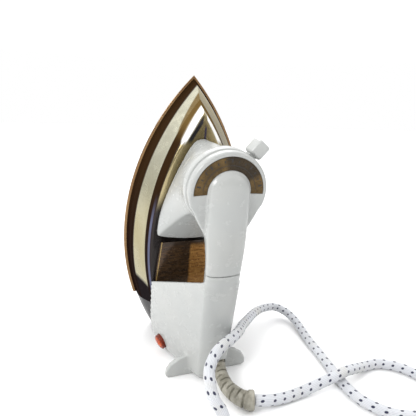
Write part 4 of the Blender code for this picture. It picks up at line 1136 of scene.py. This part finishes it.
def finish_inner():
    steel = metal("zinc_steel", (0.56, 0.56, 0.55), 0.3, (3, 3, 0.6), 0.006)
    brass = metal("spring_brass", (0.7, 0.52, 0.24), 0.3, (0.6, 6, 6), 0.005)
    cast = Finish("cast_weight", (0.07, 0.07, 0.075), 0.7, 0.6)
    cast.set(Base_Color=cast.mix(cast.noise(0.15, 4, 0.6), (0.045, 0.045, 0.05), (0.12, 0.115, 0.11)))
    cast.bump(cast.noise(0.9, 5, 0.7), 0.3)
    sheath = metal("heater_sheath", (0.25, 0.24, 0.23), 0.42, (4, 4, 4), 0.01)
    mica = Finish("mica", (0.6, 0.52, 0.36), 0.5)
    flakes = mica.range(mica.voronoi(0.12), 0.1, 0.7)
    mica.set(Base_Color=mica.mix(flakes, (0.42, 0.34, 0.2), (0.68, 0.6, 0.44)))
    mica.bump(mica.voronoi(0.3), 0.05)
    ceramic = Finish("steatite", (0.74, 0.71, 0.64), 0.55)
    ceramic.set(Base_Color=ceramic.mix(ceramic.noise(0.4, 3, 0.6), (0.62, 0.59, 0.52), (0.8, 0.78, 0.72)))
    ceramic.bump(ceramic.noise(1.4, 4, 0.6), 0.04)
    block = plastic("terminal_block_plastic", (0.06, 0.045, 0.04), 0.5)
    glass = Finish("neon_glass", (0.9, 0.8, 0.7), 0.08)
    glass.set(Transmission_Weight=0.8)
    glass.bump(glass.noise(0.6, 2), 0.05)
    looks = {"zinc_steel": steel, "spring_brass": brass, "terminal_brass": brass, "weight_iron": cast,
             "sheath_steel": sheath, "insulation_mica": mica, "steatite": ceramic,
             "terminal_plastic": block, "lamp_glass": glass}
    for name, colour in (("sleeve_brown", (0.16, 0.08, 0.04)), ("sleeve_blue", (0.03, 0.07, 0.3)),
                         ("sleeve_green", (0.05, 0.25, 0.06))):
        sleeve = Finish(name, colour, 0.8)
        thread = sleeve.noise(1.6, 3, 0.6)
        darker, lighter = [c * 0.7 for c in colour], [min(c * 1.4, 1) for c in colour]
        sleeve.set(Base_Color=sleeve.mix(thread, darker, lighter))
        sleeve.bump(thread, 0.1)
        looks[name] = sleeve
    slots = {part["node"]: part["material_slot"] for part in frame["record"]["subparts"]}
    for node, slot in slots.items():
        obj = frame["nodes"][node]
        if slot in looks and not obj.hide_render:
            give(obj, looks[slot])


# ---- floor, light and camera

def make_floor():
    mesh = bpy.data.meshes.new("floor")
    corners = [(x * FLOOR_REACH, y * FLOOR_REACH, 0) for x, y in ((-1, -1), (1, -1), (1, 1), (-1, 1))]
    mesh.from_pydata(corners, [], [(0, 1, 2, 3)])
    paper = bpy.data.materials.new("floor_paper")
    paper.use_nodes = True
    shader = paper.node_tree.nodes["Principled BSDF"]
    shader.inputs["Base Color"].default_value = (0.9, 0.9, 0.9, 1)
    shader.inputs["Roughness"].default_value = 0.9
    mesh.materials.append(paper)
    put("floor", mesh)


def make_light():
    """A white surround, brighter towards the back and overhead, and three soft lamps."""
    world = bpy.data.worlds.new("studio")
    bpy.context.scene.world = world
    world.use_nodes = True
    bpy.context.scene.view_settings.view_transform = "Standard"
    nodes, links = world.node_tree.nodes, world.node_tree.links
    background = nodes["Background"]
    background.inputs["Color"].default_value = (1, 1, 1, 1)
    parts = nodes.new("ShaderNodeSeparateXYZ")
    links.new(nodes.new("ShaderNodeTexCoord").outputs["Generated"], parts.inputs[0])
    total = nodes.new("ShaderNodeMath")
    for k, (axis, limits) in enumerate((("Y", (-0.6, 0.25, 0.36, 1)), ("Z", (0.12, 0.75, 0, 0.85)))):
        ramp = nodes.new("ShaderNodeMapRange")
        links.new(parts.outputs[axis], ramp.inputs["Value"])
        for name, value in zip(("From Min", "From Max", "To Min", "To Max"), limits):
            ramp.inputs[name].default_value = value
        links.new(ramp.outputs["Result"], total.inputs[k])
    links.new(total.outputs[0], background.inputs["Strength"])
    for name, place, size, power in (("key", (-0.85, -0.45, 0.75), 0.35, 7),
                                     ("fill", (0.9, -0.7, 0.7), 0.6, 1.5),
                                     ("back", (0.2, 1, 1.2), 0.8, 5)):
        light = bpy.data.lights.new(name, "AREA")
        light.size = size
        light.energy = power
        lamp = put(name, light)
        lamp.location = place
        lamp.rotation_euler = (Vector(LIT_POINT) - Vector(place)).to_track_quat("-Z", "Y").to_euler()


def make_camera():
    camera = bpy.data.cameras.new("camera")
    camera.sensor_width = 36
    camera.lens = 34.615
    camera.clip_start = 0.01
    camera.clip_end = 50
    obj = put("camera", camera)
    obj.location = CAMERA_PLACE
    obj.rotation_euler = [radians(a) for a in CAMERA_TURN]
    bpy.context.scene.camera = obj


make_floor()
make_light()
make_camera()
make_cord(make_bush())
make_sole()
make_cover()
make_heel()
make_name_plate()
WHITE = plastic("body_plastic", (0.385, 0.396, 0.388), 0.26, warm=0.01)
make_front_base(WHITE)
make_dial()
make_label()
make_handle(WHITE)
make_rear_cover(WHITE)
make_lamp()
finish_inner()
